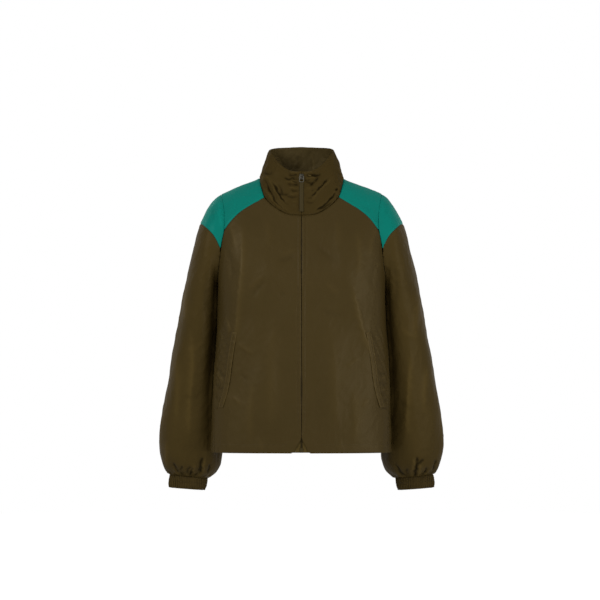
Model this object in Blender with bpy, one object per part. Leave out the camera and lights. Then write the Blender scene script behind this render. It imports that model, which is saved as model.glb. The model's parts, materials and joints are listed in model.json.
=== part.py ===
"""Zip-through anorak: a hip-length nylon shell jacket, filled out as when it is worn.

Units are metres and +Z is up. The wearer faces -Y, so the wearer's left is at +X.
The origin lies between the shoulders, on the line that joins their tops near the neck.
Every cloth piece is a thin wall. Its outer skin is read from a body form, a sleeve form or
a collar form, each worked out from short tables, and its inner skin lies WALL inside it.
Sides are +1 for the wearer's left and -1 for the wearer's right.
"""

import bisect
import math

import bmesh
import bpy
import numpy as np
from mathutils import Matrix, Vector

LEFT = 1
RIGHT = -1
FRONT = -1
BACK = 1
SIDE_NAMES = {LEFT: "left", RIGHT: "right"}

WALL = 0.002            # cloth wall, doubled cloth and its air included
SEAM = 0.00034          # gap between two pieces at a seam
REST = 0.0003           # gap under a piece that lies on another

HEM = -0.575            # height of the hem
CHEST = -0.190          # height where the body form turns into the shoulders
RIDGE_Y = -0.015        # depth of the line along the top of the shoulders
FRONT_EDGE = 0.0016     # half of the slot between the two fronts

COLUMNS_NECK_FRONT = 7
COLUMNS_NECK_BACK = 4
COLUMNS_YOKE = 6
COLUMNS_ARMHOLE = 8     # steps from a yoke's corner down to the armpit
ROWS_BODY = 17
ROWS_SHOULDER = 12
ROWS_COLLAR = 6
ROWS_CAP = 3
GATHER_COLUMNS = 4      # columns in one gather of a sleeve


class Table:
    """Rows of sizes, read between the rows along a smooth curve that never overshoots."""

    def __init__(self, names, rows):
        data = np.array(sorted(rows), dtype=float)
        self.keys = list(data[:, 0])
        self.columns = {}
        for index, name in enumerate(names.split()[1:], start=1):
            values = data[:, index]
            self.columns[name] = (values, self.slopes(data[:, 0], values))

    @staticmethod
    def slopes(keys, values):
        """Slope at each row, level where the values turn back."""
        steps = np.diff(keys)
        rises = np.diff(values) / steps
        inner = []
        for before, after in zip(rises[:-1], rises[1:]):
            inner.append(0.0 if before * after <= 0 else 2 * before * after / (before + after))
        return np.array([rises[0], *inner, rises[-1]])

    def read(self, name, key):
        """Value of a column at a key, held level beyond the first and the last row."""
        values, slopes = self.columns[name]
        key = min(max(key, self.keys[0]), self.keys[-1])
        spot = min(max(bisect.bisect_right(self.keys, key) - 1, 0), len(self.keys) - 2)
        step = self.keys[spot + 1] - self.keys[spot]
        t = (key - self.keys[spot]) / step
        h00 = (1 + 2 * t) * (1 - t) ** 2
        h10 = t * (1 - t) ** 2
        h01 = t * t * (3 - 2 * t)
        h11 = t * t * (t - 1)
        return (h00 * values[spot] + h10 * step * slopes[spot]
                + h01 * values[spot + 1] + h11 * step * slopes[spot + 1])


# Level sections of the body. half_left and half_right are the half widths, middle is the
# depth of the widest line, front and back reach from there, and square_... say how boxy
# the front and the back half are.
BODY = Table("up half_left half_right middle front back square_front square_back", [
    (-0.575, 0.1965, 0.1980, -0.045, 0.084, 0.155, 2.6, 2.1),
    (-0.500, 0.1955, 0.1960, -0.042, 0.088, 0.154, 2.7, 2.1),
    (-0.418, 0.1935, 0.1934, -0.037, 0.093, 0.151, 2.9, 2.2),
    (-0.330, 0.1875, 0.1865, -0.029, 0.101, 0.145, 3.2, 2.5),
    (-0.250, 0.1840, 0.1840, -0.020, 0.110, 0.137, 3.7, 3.0),
    (-0.190, 0.1845, 0.1845, -0.015, 0.115, 0.130, 4.0, 3.6),
])
# The line along the top of the shoulders, and how round the chest and the upper back are.
SHOULDER = Table("across top round_front round_back", [
    (0.000, 0.045, 1.30, 2.2),
    (0.060, 0.036, 1.36, 2.2),
    (0.091, 0.026, 1.47, 2.2),
    (0.125, 0.013, 1.62, 2.1),
    (0.160, 0.000, 1.83, 2.0),
    (0.190, -0.014, 1.95, 2.0),
])
# Inner edge of each front: straight up the zip, and eased away from it at the hem.
FRONT_EDGES = Table("up left right", [
    (-0.575, 0.0195, 0.0220),
    (-0.566, 0.0155, 0.0150),
    (-0.552, 0.0115, 0.0095),
    (-0.536, 0.0062, 0.0058),
    (-0.516, 0.0024, 0.0024),
    (-0.495, FRONT_EDGE, FRONT_EDGE),
    (0.060, FRONT_EDGE, FRONT_EDGE),
])
# Side seam, as a share of the way round from centre front to centre back.
SIDE_SEAM = Table("up share", [
    (-0.575, 0.375), (-0.480, 0.385), (-0.330, 0.440), (-0.207, 0.500),
])
# Seams of a front, as (across, up) seen from the front.
NECK_FRONT = [(0.0000, -0.0570), (0.0250, -0.0560), (0.0500, -0.0450), (0.0680, -0.0320),
              (0.0815, -0.0170)]
YOKE_FRONT = [(0.0815, -0.0170), (0.1005, -0.0286), (0.1310, -0.0475), (0.1510, -0.0665),
              (0.1685, -0.0880)]
# Neck seam over the shoulder and round the back, as (across, depth) seen from above.
NECK_SIDE = [(0.0815, -0.0630), (0.0872, -0.0490), (0.0908, -0.0320), (0.0915, -0.0150),
             (0.0885, 0.0060), (0.0760, 0.0250)]
NECK_BACK = [(0.0000, 0.0490), (0.0260, 0.0465), (0.0520, 0.0395), (0.0760, 0.0250)]
# Back seam of a yoke, as (across, up) seen from behind.
YOKE_BACK = [(0.0760, 0.0270), (0.0960, -0.0020), (0.1230, -0.0350), (0.1480, -0.0650),
             (0.1685, -0.0880)]
# Armhole, as (across, depth, up), from the armpit forward, over the shoulder and back.
ARMHOLE_LOW_FRONT = [(0.1840, -0.0120, -0.2070), (0.1835, -0.0520, -0.1990),
                     (0.1800, -0.0780, -0.1700), (0.1755, -0.0850, -0.1250),
                     (0.1685, -0.0840, -0.0880)]
ARMHOLE_HIGH = [(0.1685, -0.0840, -0.0880), (0.1685, -0.0700, -0.0520),
                (0.1730, -0.0450, -0.0220), (0.1765, -0.0150, -0.0080),
                (0.1730, 0.0180, -0.0220), (0.1685, 0.0480, -0.0520),
                (0.1685, 0.0660, -0.0880)]
ARMHOLE_LOW_BACK = [(0.1685, 0.0660, -0.0880), (0.1740, 0.0700, -0.1250),
                    (0.1795, 0.0620, -0.1700), (0.1835, 0.0330, -0.1990),
                    (0.1840, -0.0120, -0.2070)]

# Rings of a sleeve from the armhole to the cuff. outer and inner are the points furthest
# from and nearest to the body in the plane of the ring, middle and half its depth.
SLEEVE = Table("ring outer outer_up inner inner_up middle half square", [
    (0, 0.1765, -0.008, 0.1840, -0.207, -0.008, 0.078, 2.1),
    (1, 0.1915, -0.019, 0.1862, -0.213, -0.008, 0.0795, 2.2),
    (2, 0.2120, -0.048, 0.1862, -0.219, -0.008, 0.0805, 2.2),
    (3, 0.2230, -0.076, 0.1858, -0.226, -0.007, 0.0815, 2.2),
    (4, 0.2325, -0.104, 0.1852, -0.234, -0.005, 0.082, 2.2),
    (5, 0.2405, -0.135, 0.1848, -0.243, -0.003, 0.082, 2.2),
    (6, 0.2480, -0.170, 0.1845, -0.254, 0.000, 0.082, 2.2),
    (7, 0.2555, -0.207, 0.1845, -0.269, 0.004, 0.0815, 2.2),
    (8, 0.2625, -0.245, 0.1845, -0.289, 0.008, 0.0805, 2.2),
    (9, 0.2695, -0.285, 0.1850, -0.313, 0.012, 0.0795, 2.2),
    (10, 0.2770, -0.325, 0.1855, -0.341, 0.016, 0.078, 2.2),
    (11, 0.2850, -0.365, 0.1860, -0.372, 0.020, 0.0765, 2.2),
    (12, 0.2915, -0.402, 0.1865, -0.405, 0.024, 0.075, 2.2),
    (13, 0.2980, -0.440, 0.1860, -0.440, 0.028, 0.073, 2.2),
    (14, 0.3050, -0.476, 0.1840, -0.476, 0.032, 0.071, 2.2),
    (15, 0.3110, -0.512, 0.1800, -0.512, 0.035, 0.070, 2.2),
    (16, 0.3152, -0.545, 0.1770, -0.545, 0.038, 0.068, 2.2),
    (17, 0.3148, -0.5750, 0.1735, -0.5770, 0.040, 0.066, 2.2),
    (18, 0.3100, -0.5970, 0.1770, -0.5990, 0.040, 0.061, 2.2),
    (19, 0.3045, -0.6115, 0.1835, -0.6145, 0.040, 0.053, 2.2),
    (20, 0.2977, -0.6208, 0.1920, -0.6258, 0.040, 0.042, 2.2),
    (21, 0.2916, -0.6270, 0.2070, -0.6345, 0.040, 0.030, 2.3),
])
LAST_RING = 21
FREE_RING = 4           # first ring that lies wholly below the cap
FIRST_ROWS = (0, 0.22, 0.45, 0.72)   # rows between the cap and that ring, as shares of the way
CAP_RING = 3.0          # how far the teal cap reaches down the outside of the sleeve
CAP_TIP = 0.10          # its width at the two tips, in rings
CAP_TIP_COLUMNS = 2     # columns from a tip to the yoke's seam
CAP_COLUMNS = (COLUMNS_ARMHOLE - CAP_TIP_COLUMNS, COLUMNS_ARMHOLE + ROWS_SHOULDER + CAP_TIP_COLUMNS)
CAP_BLEND = 0.8         # rings over which the cap's wall turns from the body's to its own
EVEN_RING = 12          # ring from which the columns are evenly spread round the sleeve
UNDERARM_TOP = -0.110   # the sleeve stands clear of the body's seam from here down
UNDERARM_DEPTH = 0.090
UNDERARM_CLEAR = 0.0012
ARM_CLEAR = 0.0010      # air between the sleeve and the body's side, and nearer the armhole
ARM_CLEAR_TOP = 0.0005
ARM_SOFT = 0.0015       # how softly the sleeve bends away from the body
BELOW_HEM = 0.004       # the sleeve is still held away this far below the hem
# Depth of the gathers above the cuff.
GATHERS = Table("ring depth", [(0, 0.0), (16, 0.0), (18, 0.0016), (20, 0.0030), (21, 0.0012)])
# Rings of a cuff, in the same terms as those of the sleeve.
CUFF = Table("ring outer outer_up inner inner_up middle half square", [
    (0, 0.2916, -0.6275, 0.2070, -0.6350, 0.040, 0.030, 2.3),
    (1, 0.2931, -0.6370, 0.2080, -0.6440, 0.040, 0.031, 2.4),
    (2, 0.2946, -0.6480, 0.2100, -0.6550, 0.040, 0.031, 2.4),
    (3, 0.2931, -0.6560, 0.2135, -0.6620, 0.040, 0.029, 2.4),
])
CUFF_RINGS = 3
CUFF_RIB = 0.0005       # half the depth of the ribs that the elastic draws up

# Top edge of the collar: height by the angle round from centre front, in degrees.
COLLAR_TOP = Table("angle up", [
    (0, 0.0395), (22, 0.0400), (40, 0.0480), (58, 0.0640), (74, 0.0800), (90, 0.0875),
    (120, 0.0930), (180, 0.0965),
])
COLLAR_TOP_HALF = 0.0715
COLLAR_TOP_FRONT = -0.0680
COLLAR_TOP_BACK = 0.0420
COLLAR_SWELL = 0.0030   # how far the collar rounds out half way up
COLLAR_FLAT = 0.0250    # this near the zip the collar's columns stand straight up

# Largest folds of the body: path as (across, up), half width, height and face.
BODY_FOLDS = [
    ([(-0.133, -0.050), (-0.130, -0.130), (-0.137, -0.242), (-0.146, -0.318), (-0.157, -0.372)],
     0.0210, 0.0050, FRONT),
    ([(-0.040, -0.150), (-0.078, -0.198), (-0.113, -0.240)], 0.0230, 0.0030, FRONT),
    ([(-0.100, -0.300), (-0.085, -0.400), (-0.090, -0.500)], 0.0240, 0.0040, FRONT),
    ([(0.082, -0.080), (0.100, -0.180), (0.128, -0.286), (0.155, -0.356), (0.163, -0.400)],
     0.0210, 0.0050, FRONT),
    ([(0.036, -0.230), (0.070, -0.350), (0.072, -0.470)], 0.0240, 0.0035, FRONT),
    ([(-0.130, -0.060), (-0.125, -0.170), (-0.105, -0.300)], 0.0240, 0.0050, BACK),
    ([(0.128, -0.070), (0.118, -0.190), (0.095, -0.330)], 0.0240, 0.0045, BACK),
    ([(-0.040, -0.200), (-0.055, -0.330), (-0.050, -0.480)], 0.0240, 0.0040, BACK),
    ([(0.045, -0.240), (0.062, -0.380), (0.055, -0.520)], 0.0240, 0.0040, BACK),
]
ZIP_CALM = 0.024        # this near the zip the fronts lie smooth
ZIP_CALM_FADE = 0.020
# Largest creases of the collar: path as (across, up), half width and height.
COLLAR_FOLDS = [
    ([(-0.076, 0.026), (-0.052, -0.012), (-0.023, -0.050)], 0.0085, 0.0022),
    ([(-0.066, 0.052), (-0.043, 0.010), (-0.024, -0.008)], 0.0085, 0.0018),
    ([(0.063, 0.030), (0.045, 0.004), (0.030, -0.016)], 0.0085, 0.0022),
    ([(0.080, 0.004), (0.062, -0.024), (0.040, -0.046)], 0.0085, 0.0024),
]
# Largest folds down the sleeves: side, turn from the outside towards the front in degrees,
# first and last ring, half width in degrees and height.
SLEEVE_FOLDS = [
    (RIGHT, 52, 9, 19, 16, 0.0040), (RIGHT, 118, 7, 18, 18, 0.0035),
    (RIGHT, -70, 6, 18, 18, 0.0040), (RIGHT, -125, 8, 18, 18, 0.0035),
    (LEFT, 92, 9, 19, 16, 0.0045), (LEFT, 38, 5, 15, 18, 0.0035),
    (LEFT, -62, 6, 18, 18, 0.0040), (LEFT, -120, 8, 18, 18, 0.0035),
]

FOLD_TIP = 0.06         # how far into its own fading a fold starts and ends
FOLD_BLUNT = 0.6        # below 1, a fold keeps its height for longer before it fades
COLLAR_STEP = 0.1       # share of the collar's height that its slope is measured over
COLLAR_ROUND = 1.3      # how much rounder than a circle the collar's top edge faces outward

# Slanted pocket edges, as (across, up) seen from the front, with the width of the fold.
POCKET_EDGE = [(0.1480, -0.3120), (0.1590, -0.3740), (0.1670, -0.4300), (0.1800, -0.4760)]
POCKET_WIDTH = 0.0100
POCKET_WALL = 0.0014
POCKET_REST = 0.0005    # gap under the fold, over the flats between the front's points

TAPE_NEAR = 0.0029
TAPE_FAR = 0.0210
TAPE_WALL = 0.0010
CHAIN_HALF = 0.0025
CHAIN_WALL = 0.0018
TAPE_DEPTH = WALL + 0.0006   # from the outer face of the fronts to the face of the tapes
TAPE_FOOT = 0.0015           # the tapes stop this far above the hem
TAPE_HEAD = 0.985            # share of the collar's height where the tapes end

SLIDER_WIDTH = 0.0085
SLIDER_HEIGHT = 0.0105
SLIDER_DEPTH = 0.0024
SLIDER_RISE = 0.88           # share of the collar's height at the middle of the slider
BAIL_RADIUS = 0.0030
BAIL_WIRE = 0.0007
BAIL_ROOT = 0.0006           # how deep its two ends sit in the slider
HARD_BEVEL = 0.0006          # rounding of the slider's and the strap's edges
WELD = 0.00001               # distance within which loose curve caps are joined
PIVOT_STAND = 0.0011         # from the slider's face to the axis of the pull
LINK_WIDTH = 0.0106
LINK_WALL = 0.0014
LINK_BAR = 0.0013
LINK_HOLE = 0.0054           # height of each of its two holes
LINK_CORNER = 0.0030
HOLE_CORNER = 0.0016
STRAP_WIDTH = 0.0086
STRAP_LENGTH = 0.0650
STRAP_WALL = 0.0020
STRAP_LIFT = 0.0042          # how far the strap's end stands off the cloth

OLIVE = (0.056, 0.038, 0.013)
OLIVE_DARK = (0.046, 0.031, 0.011)
TEAL = (0.011, 0.188, 0.144)
STEEL = (0.42, 0.41, 0.38)
RUBBER = (0.060, 0.045, 0.020)
NYLON_ROUGH = 0.5
TRIM_ROUGH = 0.6
METAL_ROUGH = 0.35


def unit(vector):
    """The vector at length one."""
    return vector / np.linalg.norm(vector)


def body_half(side, up):
    """Half width of the body at a height."""
    return BODY.read("half_left" if side == LEFT else "half_right", up)


def section_reach(side, face, across, up):
    """Depth of the body's front or back wall at a level, from its middle line."""
    low = min(up, CHEST)
    power = BODY.read("square_front" if face == FRONT else "square_back", low)
    reach = BODY.read("front" if face == FRONT else "back", low)
    share = min(abs(across) / body_half(side, low), 1.0)
    return reach * (1 - share ** power) ** (1 / power)


def roundness(face, across):
    """How round the shoulder form is at a distance from the centre line."""
    return SHOULDER.read("round_front" if face == FRONT else "round_back", abs(across))


def on_wall(side, face, across, up):
    """Point of the body's front or back at a place seen from the front."""
    reach = section_reach(side, face, across, up)
    if up <= CHEST:
        return np.array([side * across, BODY.read("middle", up) + face * reach, up])
    power = roundness(face, across)
    rise = min((up - CHEST) / (SHOULDER.read("top", across) - CHEST), 1.0)
    return np.array([side * across, RIDGE_Y + face * reach * (1 - rise ** power) ** (1 / power), up])


def on_top(side, across, depth):
    """Point of the shoulders at a place seen from above."""
    face = FRONT if depth < RIDGE_Y else BACK
    power = roundness(face, across)
    share = min(abs(depth - RIDGE_Y) / section_reach(side, face, across, CHEST), 1.0)
    top = SHOULDER.read("top", across)
    return np.array([side * across, depth, CHEST + (top - CHEST) * (1 - share ** power) ** (1 / power)])


def turn_of(side, face, across, up):
    """Share of the way round from centre front to centre back."""
    low = min(up, CHEST)
    reach = BODY.read("front" if face == FRONT else "back", low)
    angle = math.atan2(across / body_half(side, low), section_reach(side, face, across, up) / reach)
    return angle / math.pi if face == FRONT else 1 - angle / math.pi


def to_form(side, point):
    """Share of the way round and height number of a point: 0 hem, 1 chest, 2 shoulder line."""
    across, depth, up = abs(point[0]), point[1], point[2]
    if up <= CHEST:
        face = FRONT if depth < BODY.read("middle", up) else BACK
        power = BODY.read("square_front" if face == FRONT else "square_back", up)
        reach = BODY.read("front" if face == FRONT else "back", up)
        angle = math.atan2(across / body_half(side, up), abs(depth - BODY.read("middle", up)) / reach)
        turn = angle / math.pi if face == FRONT else 1 - angle / math.pi
        return np.array([turn, (up - HEM) / (CHEST - HEM)])
    face = FRONT if depth < RIDGE_Y else BACK
    power = roundness(face, across)
    rise = (up - CHEST) / (SHOULDER.read("top", across) - CHEST)
    share = abs(depth - RIDGE_Y) / max(section_reach(side, face, across, up), 1e-6)
    climb = math.atan2(rise ** (power / 2), share ** (power / 2)) / (math.pi / 2)
    return np.array([turn_of(side, face, across, up), 1 + climb])


def from_form(side, turn, height):
    """Point of the body form, the other way round from to_form."""
    turn = min(max(turn, 0.0), 1.0)
    face = FRONT if turn < 0.5 else BACK
    angle = math.pi * turn
    up = HEM + min(height, 1.0) * (CHEST - HEM)
    power = BODY.read("square_front" if face == FRONT else "square_back", up)
    reach = BODY.read("front" if face == FRONT else "back", up)
    scale = (math.sin(angle) ** power + abs(math.cos(angle)) ** power) ** (-1 / power)
    across = body_half(side, up) * scale * math.sin(angle)
    depth = face * reach * scale * abs(math.cos(angle))
    if height <= 1.0:
        return np.array([side * across, BODY.read("middle", up) + depth, up])
    climb = (height - 1) * math.pi / 2
    power = roundness(face, across)
    top = SHOULDER.read("top", across)
    return np.array([side * across, RIDGE_Y + depth * max(math.cos(climb), 0.0) ** (2 / power),
                     CHEST + (top - CHEST) * math.sin(climb) ** (2 / power)])


def to_shoulder(side, point):
    """Distance from the centre line and the way over the shoulder: -1 front, 1 back."""
    climb = to_form(side, point)[1] - 1
    return np.array([abs(point[0]), climb - 1 if point[1] < RIDGE_Y else 1 - climb])


def from_shoulder(side, across, over):
    """Point of the shoulder form, the other way round from to_shoulder."""
    face = FRONT if over < 0 else BACK
    climb = (1 - abs(over)) * math.pi / 2
    power = roundness(face, across)
    reach = section_reach(side, face, across, CHEST)
    top = SHOULDER.read("top", across)
    return np.array([side * across, RIDGE_Y + face * reach * max(math.cos(climb), 0.0) ** (2 / power),
                     CHEST + (top - CHEST) * math.sin(climb) ** (2 / power)])


def beyond(side, point):
    """Level function of the body form: above zero outside it."""
    across, depth, up = abs(point[0]), point[1], point[2]
    low = min(up, CHEST)
    middle = BODY.read("middle", low)
    face = FRONT if depth < middle else BACK
    power = BODY.read("square_front" if face == FRONT else "square_back", low)
    reach = BODY.read("front" if face == FRONT else "back", low)
    half = body_half(side, low)
    if up <= CHEST:
        return (across / half) ** power + (abs(depth - middle) / reach) ** power - 1
    share = min(across / half, 0.9999)
    depth_share = abs(depth - RIDGE_Y) / (reach * (1 - share ** power) ** (1 / power))
    rise = (up - CHEST) / (SHOULDER.read("top", across) - CHEST)
    bend = roundness(face, across)
    return depth_share ** bend + rise ** bend - 1


def body_normal(side, point):
    """Outward direction of the body form at a point."""
    step = 0.0006
    slope = []
    for axis in range(3):
        shift = np.zeros(3)
        shift[axis] = step
        slope.append(beyond(side, point + shift) - beyond(side, point - shift))
    slope = np.array(slope)
    if abs(point[0]) < step:
        slope[0] = 0.0
    return unit(slope)


def fold_height(folds, across, up):
    """Height that the folds with a path as (across, up) add at a place."""
    total = 0.0
    for path, half_width, height in folds:
        points = np.array(path)
        lengths = np.linalg.norm(np.diff(points, axis=0), axis=1)
        best = (1.0, 0.0)
        run = 0.0
        for start, end, length in zip(points[:-1], points[1:], lengths):
            along = np.clip(np.dot((across, up) - start, end - start) / length ** 2, 0.0, 1.0)
            distance = math.dist((across, up), start + along * (end - start))
            best = min(best, (distance, (run + along * length) / lengths.sum()))
            run += length
        distance, share = best
        fade = math.sin(math.pi * (FOLD_TIP + (1 - 2 * FOLD_TIP) * share)) ** FOLD_BLUNT
        total += height * fade * math.exp(-(distance / half_width) ** 2)
    return total


def body_lift(point):
    """Height of the body's folds at a point, none beside the zip."""
    face = FRONT if point[1] < BODY.read("middle", min(point[2], CHEST)) else BACK
    folds = [fold[:3] for fold in BODY_FOLDS if fold[3] == face]
    lift = fold_height(folds, point[0], point[2])
    if face == FRONT:
        lift *= min(max((abs(point[0]) - ZIP_CALM) / ZIP_CALM_FADE, 0.0), 1.0)
    return lift


def spline(points, share):
    """Point of a smooth curve through the points, at a share of their chord length."""
    points = np.array(points, dtype=float)
    chords = np.concatenate([[0], np.cumsum(np.linalg.norm(np.diff(points, axis=0), axis=1))])
    table_rows = [(chord, *point) for chord, point in zip(chords, points)]
    names = "chord " + " ".join(f"axis{axis}" for axis in range(points.shape[1]))
    table = Table(names, table_rows)
    return np.array([table.read(f"axis{axis}", share * chords[-1]) for axis in range(points.shape[1])])


def resample(points, count):
    """Count steps of equal length along a line of points."""
    points = np.array(points)
    run = np.concatenate([[0], np.cumsum(np.linalg.norm(np.diff(points, axis=0), axis=1))])
    wanted = np.linspace(0, run[-1], count + 1)
    return np.array([[np.interp(w, run, points[:, axis]) for axis in range(points.shape[1])]
                     for w in wanted])


def curve(points, count, place):
    """Evenly spaced points of the form along a named seam."""
    fine = [place(*spline(points, share)) for share in np.linspace(0, 1, 120)]
    return resample(fine, count)


class Seams:
    """The seam lines of one side of the body, as points that both neighbours share."""

    def __init__(self, side):
        self.side = side
        edge = "left" if side == LEFT else "right"

        def front(across, up):
            return on_wall(side, FRONT, across, up)

        def back(across, up):
            return on_wall(side, BACK, across, up)

        def above(across, depth):
            return on_top(side, across, depth)

        def free(across, depth, up):
            return from_form(side, *to_form(side, (side * across, depth, up)))

        neck_start = [(FRONT_EDGE, NECK_FRONT[0][1]), *NECK_FRONT[1:]]
        self.neck_front = curve(neck_start, COLUMNS_NECK_FRONT, front)
        self.yoke_front = curve(YOKE_FRONT, COLUMNS_YOKE, front)
        corner = (abs(self.neck_front[-1][0]), self.neck_front[-1][1])
        self.neck_side = curve([corner, *NECK_SIDE[1:]], ROWS_SHOULDER, above)
        self.neck_back = curve(NECK_BACK, COLUMNS_NECK_BACK, above)
        back_start = [(NECK_BACK[-1][0], self.neck_back[-1][2]), *YOKE_BACK[1:]]
        self.yoke_back = curve(back_start, COLUMNS_YOKE, back)
        self.low_front = curve(ARMHOLE_LOW_FRONT, COLUMNS_ARMHOLE, free)
        self.high = curve(ARMHOLE_HIGH, ROWS_SHOULDER, free)
        self.low_back = curve(ARMHOLE_LOW_BACK, COLUMNS_ARMHOLE, free)
        armpit = self.low_front[0]
        self.low_back[-1] = armpit
        self.high[0] = self.low_front[-1] = self.yoke_front[-1]
        self.high[-1] = self.low_back[0] = self.yoke_back[-1]
        self.neck_side[0] = self.neck_front[-1] = self.yoke_front[0]
        self.neck_side[-1] = self.neck_back[-1] = self.yoke_back[0]

        heights = np.linspace(HEM, armpit[2], ROWS_BODY + 1)
        self.side_seam = np.array([from_form(side, SIDE_SEAM.read("share", up),
                                             (up - HEM) / (CHEST - HEM)) for up in heights])
        self.side_seam[-1] = armpit
        ups = np.linspace(HEM, NECK_FRONT[0][1], ROWS_BODY + 1)
        self.centre_front = np.array([front(FRONT_EDGES.read(edge, up), up) for up in ups])
        self.centre_front[-1] = self.neck_front[0]
        ups = np.linspace(HEM, self.neck_back[0][2], ROWS_BODY + 1)
        self.centre_back = np.array([back(0.0, up) for up in ups])
        self.centre_back[-1] = self.neck_back[0]


def coons(bottom, top, left, right):
    """Grid of number pairs blended from its four edges, row by row from the bottom."""
    rows, columns = len(left) - 1, len(bottom) - 1
    grid = np.zeros((rows + 1, columns + 1, 2))
    for i in range(rows + 1):
        v = i / rows
        for j in range(columns + 1):
            u = j / columns
            ruled = (1 - v) * bottom[j] + v * top[j] + (1 - u) * left[i] + u * right[i]
            corners = ((1 - u) * (1 - v) * bottom[0] + u * (1 - v) * bottom[-1]
                       + (1 - u) * v * top[0] + u * v * top[-1])
            grid[i, j] = ruled - corners
    return grid


def skins(side, grid, wall=WALL, rise=0.0):
    """Outer and inner skin of a grid of points of the body form."""
    outer = np.zeros_like(grid)
    inner = np.zeros_like(grid)
    for index in np.ndindex(grid.shape[:2]):
        point = grid[index]
        out = body_normal(side, point)
        height = body_lift(point) + rise
        outer[index] = point + out * height
        inner[index] = point + out * (height - wall)
    return outer, inner


def eased(outer, inner, edges, gap=SEAM):
    """The two skins with the named edges drawn back from their seams by half the gap."""
    shift = np.zeros_like(outer)
    lines = {
        "bottom": (outer[0], outer[1], (0, slice(None))),
        "top": (outer[-1], outer[-2], (-1, slice(None))),
        "left": (outer[:, 0], outer[:, 1], (slice(None), 0)),
        "right": (outer[:, -1], outer[:, -2], (slice(None), -1)),
    }
    for name in edges:
        line, beside, where = lines[name]
        along = np.gradient(line, axis=0)
        inward = beside - line
        for k, (direction, way) in enumerate(zip(along, inward)):
            direction = unit(direction)
            way = way - direction * np.dot(way, direction)
            shift[where][k] += unit(way) * gap / 2
    return outer + shift, inner + shift


def wall_mesh(name, outer, inner, material, ring=False):
    """Closed thin wall between two skins; a ring closes on itself across its columns."""
    rows, columns = outer.shape[0], outer.shape[1]
    bm = bmesh.new()
    out = [[bm.verts.new(point) for point in row] for row in outer]
    inn = [[bm.verts.new(point) for point in row] for row in inner]
    spans = columns if ring else columns - 1
    for i in range(rows - 1):
        for j in range(spans):
            k = (j + 1) % columns
            bm.faces.new((out[i][j], out[i][k], out[i + 1][k], out[i + 1][j]))
            bm.faces.new((inn[i][j], inn[i + 1][j], inn[i + 1][k], inn[i][k]))
    for i in (0, rows - 1):
        for j in range(spans):
            k = (j + 1) % columns
            bm.faces.new((out[i][j], inn[i][j], inn[i][k], out[i][k]))
    if not ring:
        for j in (0, columns - 1):
            for i in range(rows - 1):
                bm.faces.new((out[i][j], out[i + 1][j], inn[i + 1][j], inn[i][j]))
    bmesh.ops.recalc_face_normals(bm, faces=bm.faces)
    return add_object(name, bm, material)


def add_object(name, bm, material):
    """Object of the jacket's collection, made from a bmesh."""
    mesh = bpy.data.meshes.new(name)
    bm.to_mesh(mesh)
    bm.free()
    mesh.materials.append(material)
    mesh.shade_smooth()
    mesh.set_sharp_from_angle(angle=math.radians(50))
    piece = bpy.data.objects.new(name, mesh)
    jacket().objects.link(piece)
    return piece


def jacket():
    """The collection that holds the pieces."""
    found = bpy.data.collections.get("anorak")
    if found is None:
        found = bpy.data.collections.new("anorak")
        bpy.context.scene.collection.children.link(found)
    return found


def finish(name, colour, roughness, metallic=0.0):
    """Plain material of a piece."""
    material = bpy.data.materials.new(name)
    material.use_nodes = True
    shader = material.node_tree.nodes["Principled BSDF"]
    shader.inputs["Base Color"].default_value = (*colour, 1.0)
    shader.inputs["Roughness"].default_value = roughness
    shader.inputs["Metallic"].default_value = metallic
    return material


def half_panel(seams, face):
    """Grid of the body form for one half of the front or of the back."""
    side = seams.side
    if face == FRONT:
        centre, neck, yoke, armhole = (seams.centre_front, seams.neck_front, seams.yoke_front,
                                       seams.low_front[::-1])
    else:
        centre, neck, yoke, armhole = (seams.centre_back, seams.neck_back, seams.yoke_back,
                                       seams.low_back)
    top = np.concatenate([neck, yoke[1:], armhole[1:]])
    lines = {name: np.array([to_form(side, point) for point in line])
             for name, line in (("centre", centre), ("top", top), ("side", seams.side_seam))}
    if face == BACK:
        lines["centre"][:, 0] = 1.0
    turns = lines["top"][:, 0]
    even = np.linspace(0, 1, len(turns))
    shares = 0.5 * (turns - turns[0]) / (turns[-1] - turns[0]) + 0.5 * even
    start, end = lines["centre"][0, 0], lines["side"][0, 0]
    bottom = np.array([(start + (end - start) * share, 0.0) for share in shares])
    numbers = coons(bottom, lines["top"], lines["centre"], lines["side"])
    grid = np.array([[from_form(side, *cell) for cell in row] for row in numbers])
    grid[:, 0] = centre
    grid[:, -1] = seams.side_seam
    grid[-1] = top
    return grid


def build_fronts(all_seams, cloth):
    """The two fronts."""
    for side, seams in all_seams.items():
        outer, inner = skins(side, half_panel(seams, FRONT))
        outer, inner = eased(outer, inner, ("top", "right"))
        wall_mesh(f"front_{SIDE_NAMES[side]}", outer, inner, cloth)


def build_back(all_seams, cloth):
    """The back, in one piece."""
    halves = {side: skins(side, half_panel(seams, BACK)) for side, seams in all_seams.items()}
    outer, inner = (np.concatenate([halves[RIGHT][k][:, ::-1], halves[LEFT][k][:, 1:]], axis=1)
                    for k in (0, 1))
    outer, inner = eased(outer, inner, ("top", "left", "right"))
    wall_mesh("back", outer, inner, cloth)


def build_yokes(all_seams, cloth):
    """The teal shoulder yokes."""
    for side, seams in all_seams.items():
        edges = [np.array([to_shoulder(side, point) for point in line])
                 for line in (seams.neck_side, seams.high, seams.yoke_front, seams.yoke_back)]
        numbers = coons(*edges)
        grid = np.array([[from_shoulder(side, *cell) for cell in row] for row in numbers])
        grid[0] = seams.neck_side
        grid[-1] = seams.high
        grid[:, 0] = seams.yoke_front
        grid[:, -1] = seams.yoke_back
        outer, inner = skins(side, grid)
        outer, inner = eased(outer, inner, ("bottom", "top", "left", "right"))
        wall_mesh(f"yoke_{SIDE_NAMES[side]}", outer, inner, cloth)


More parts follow.
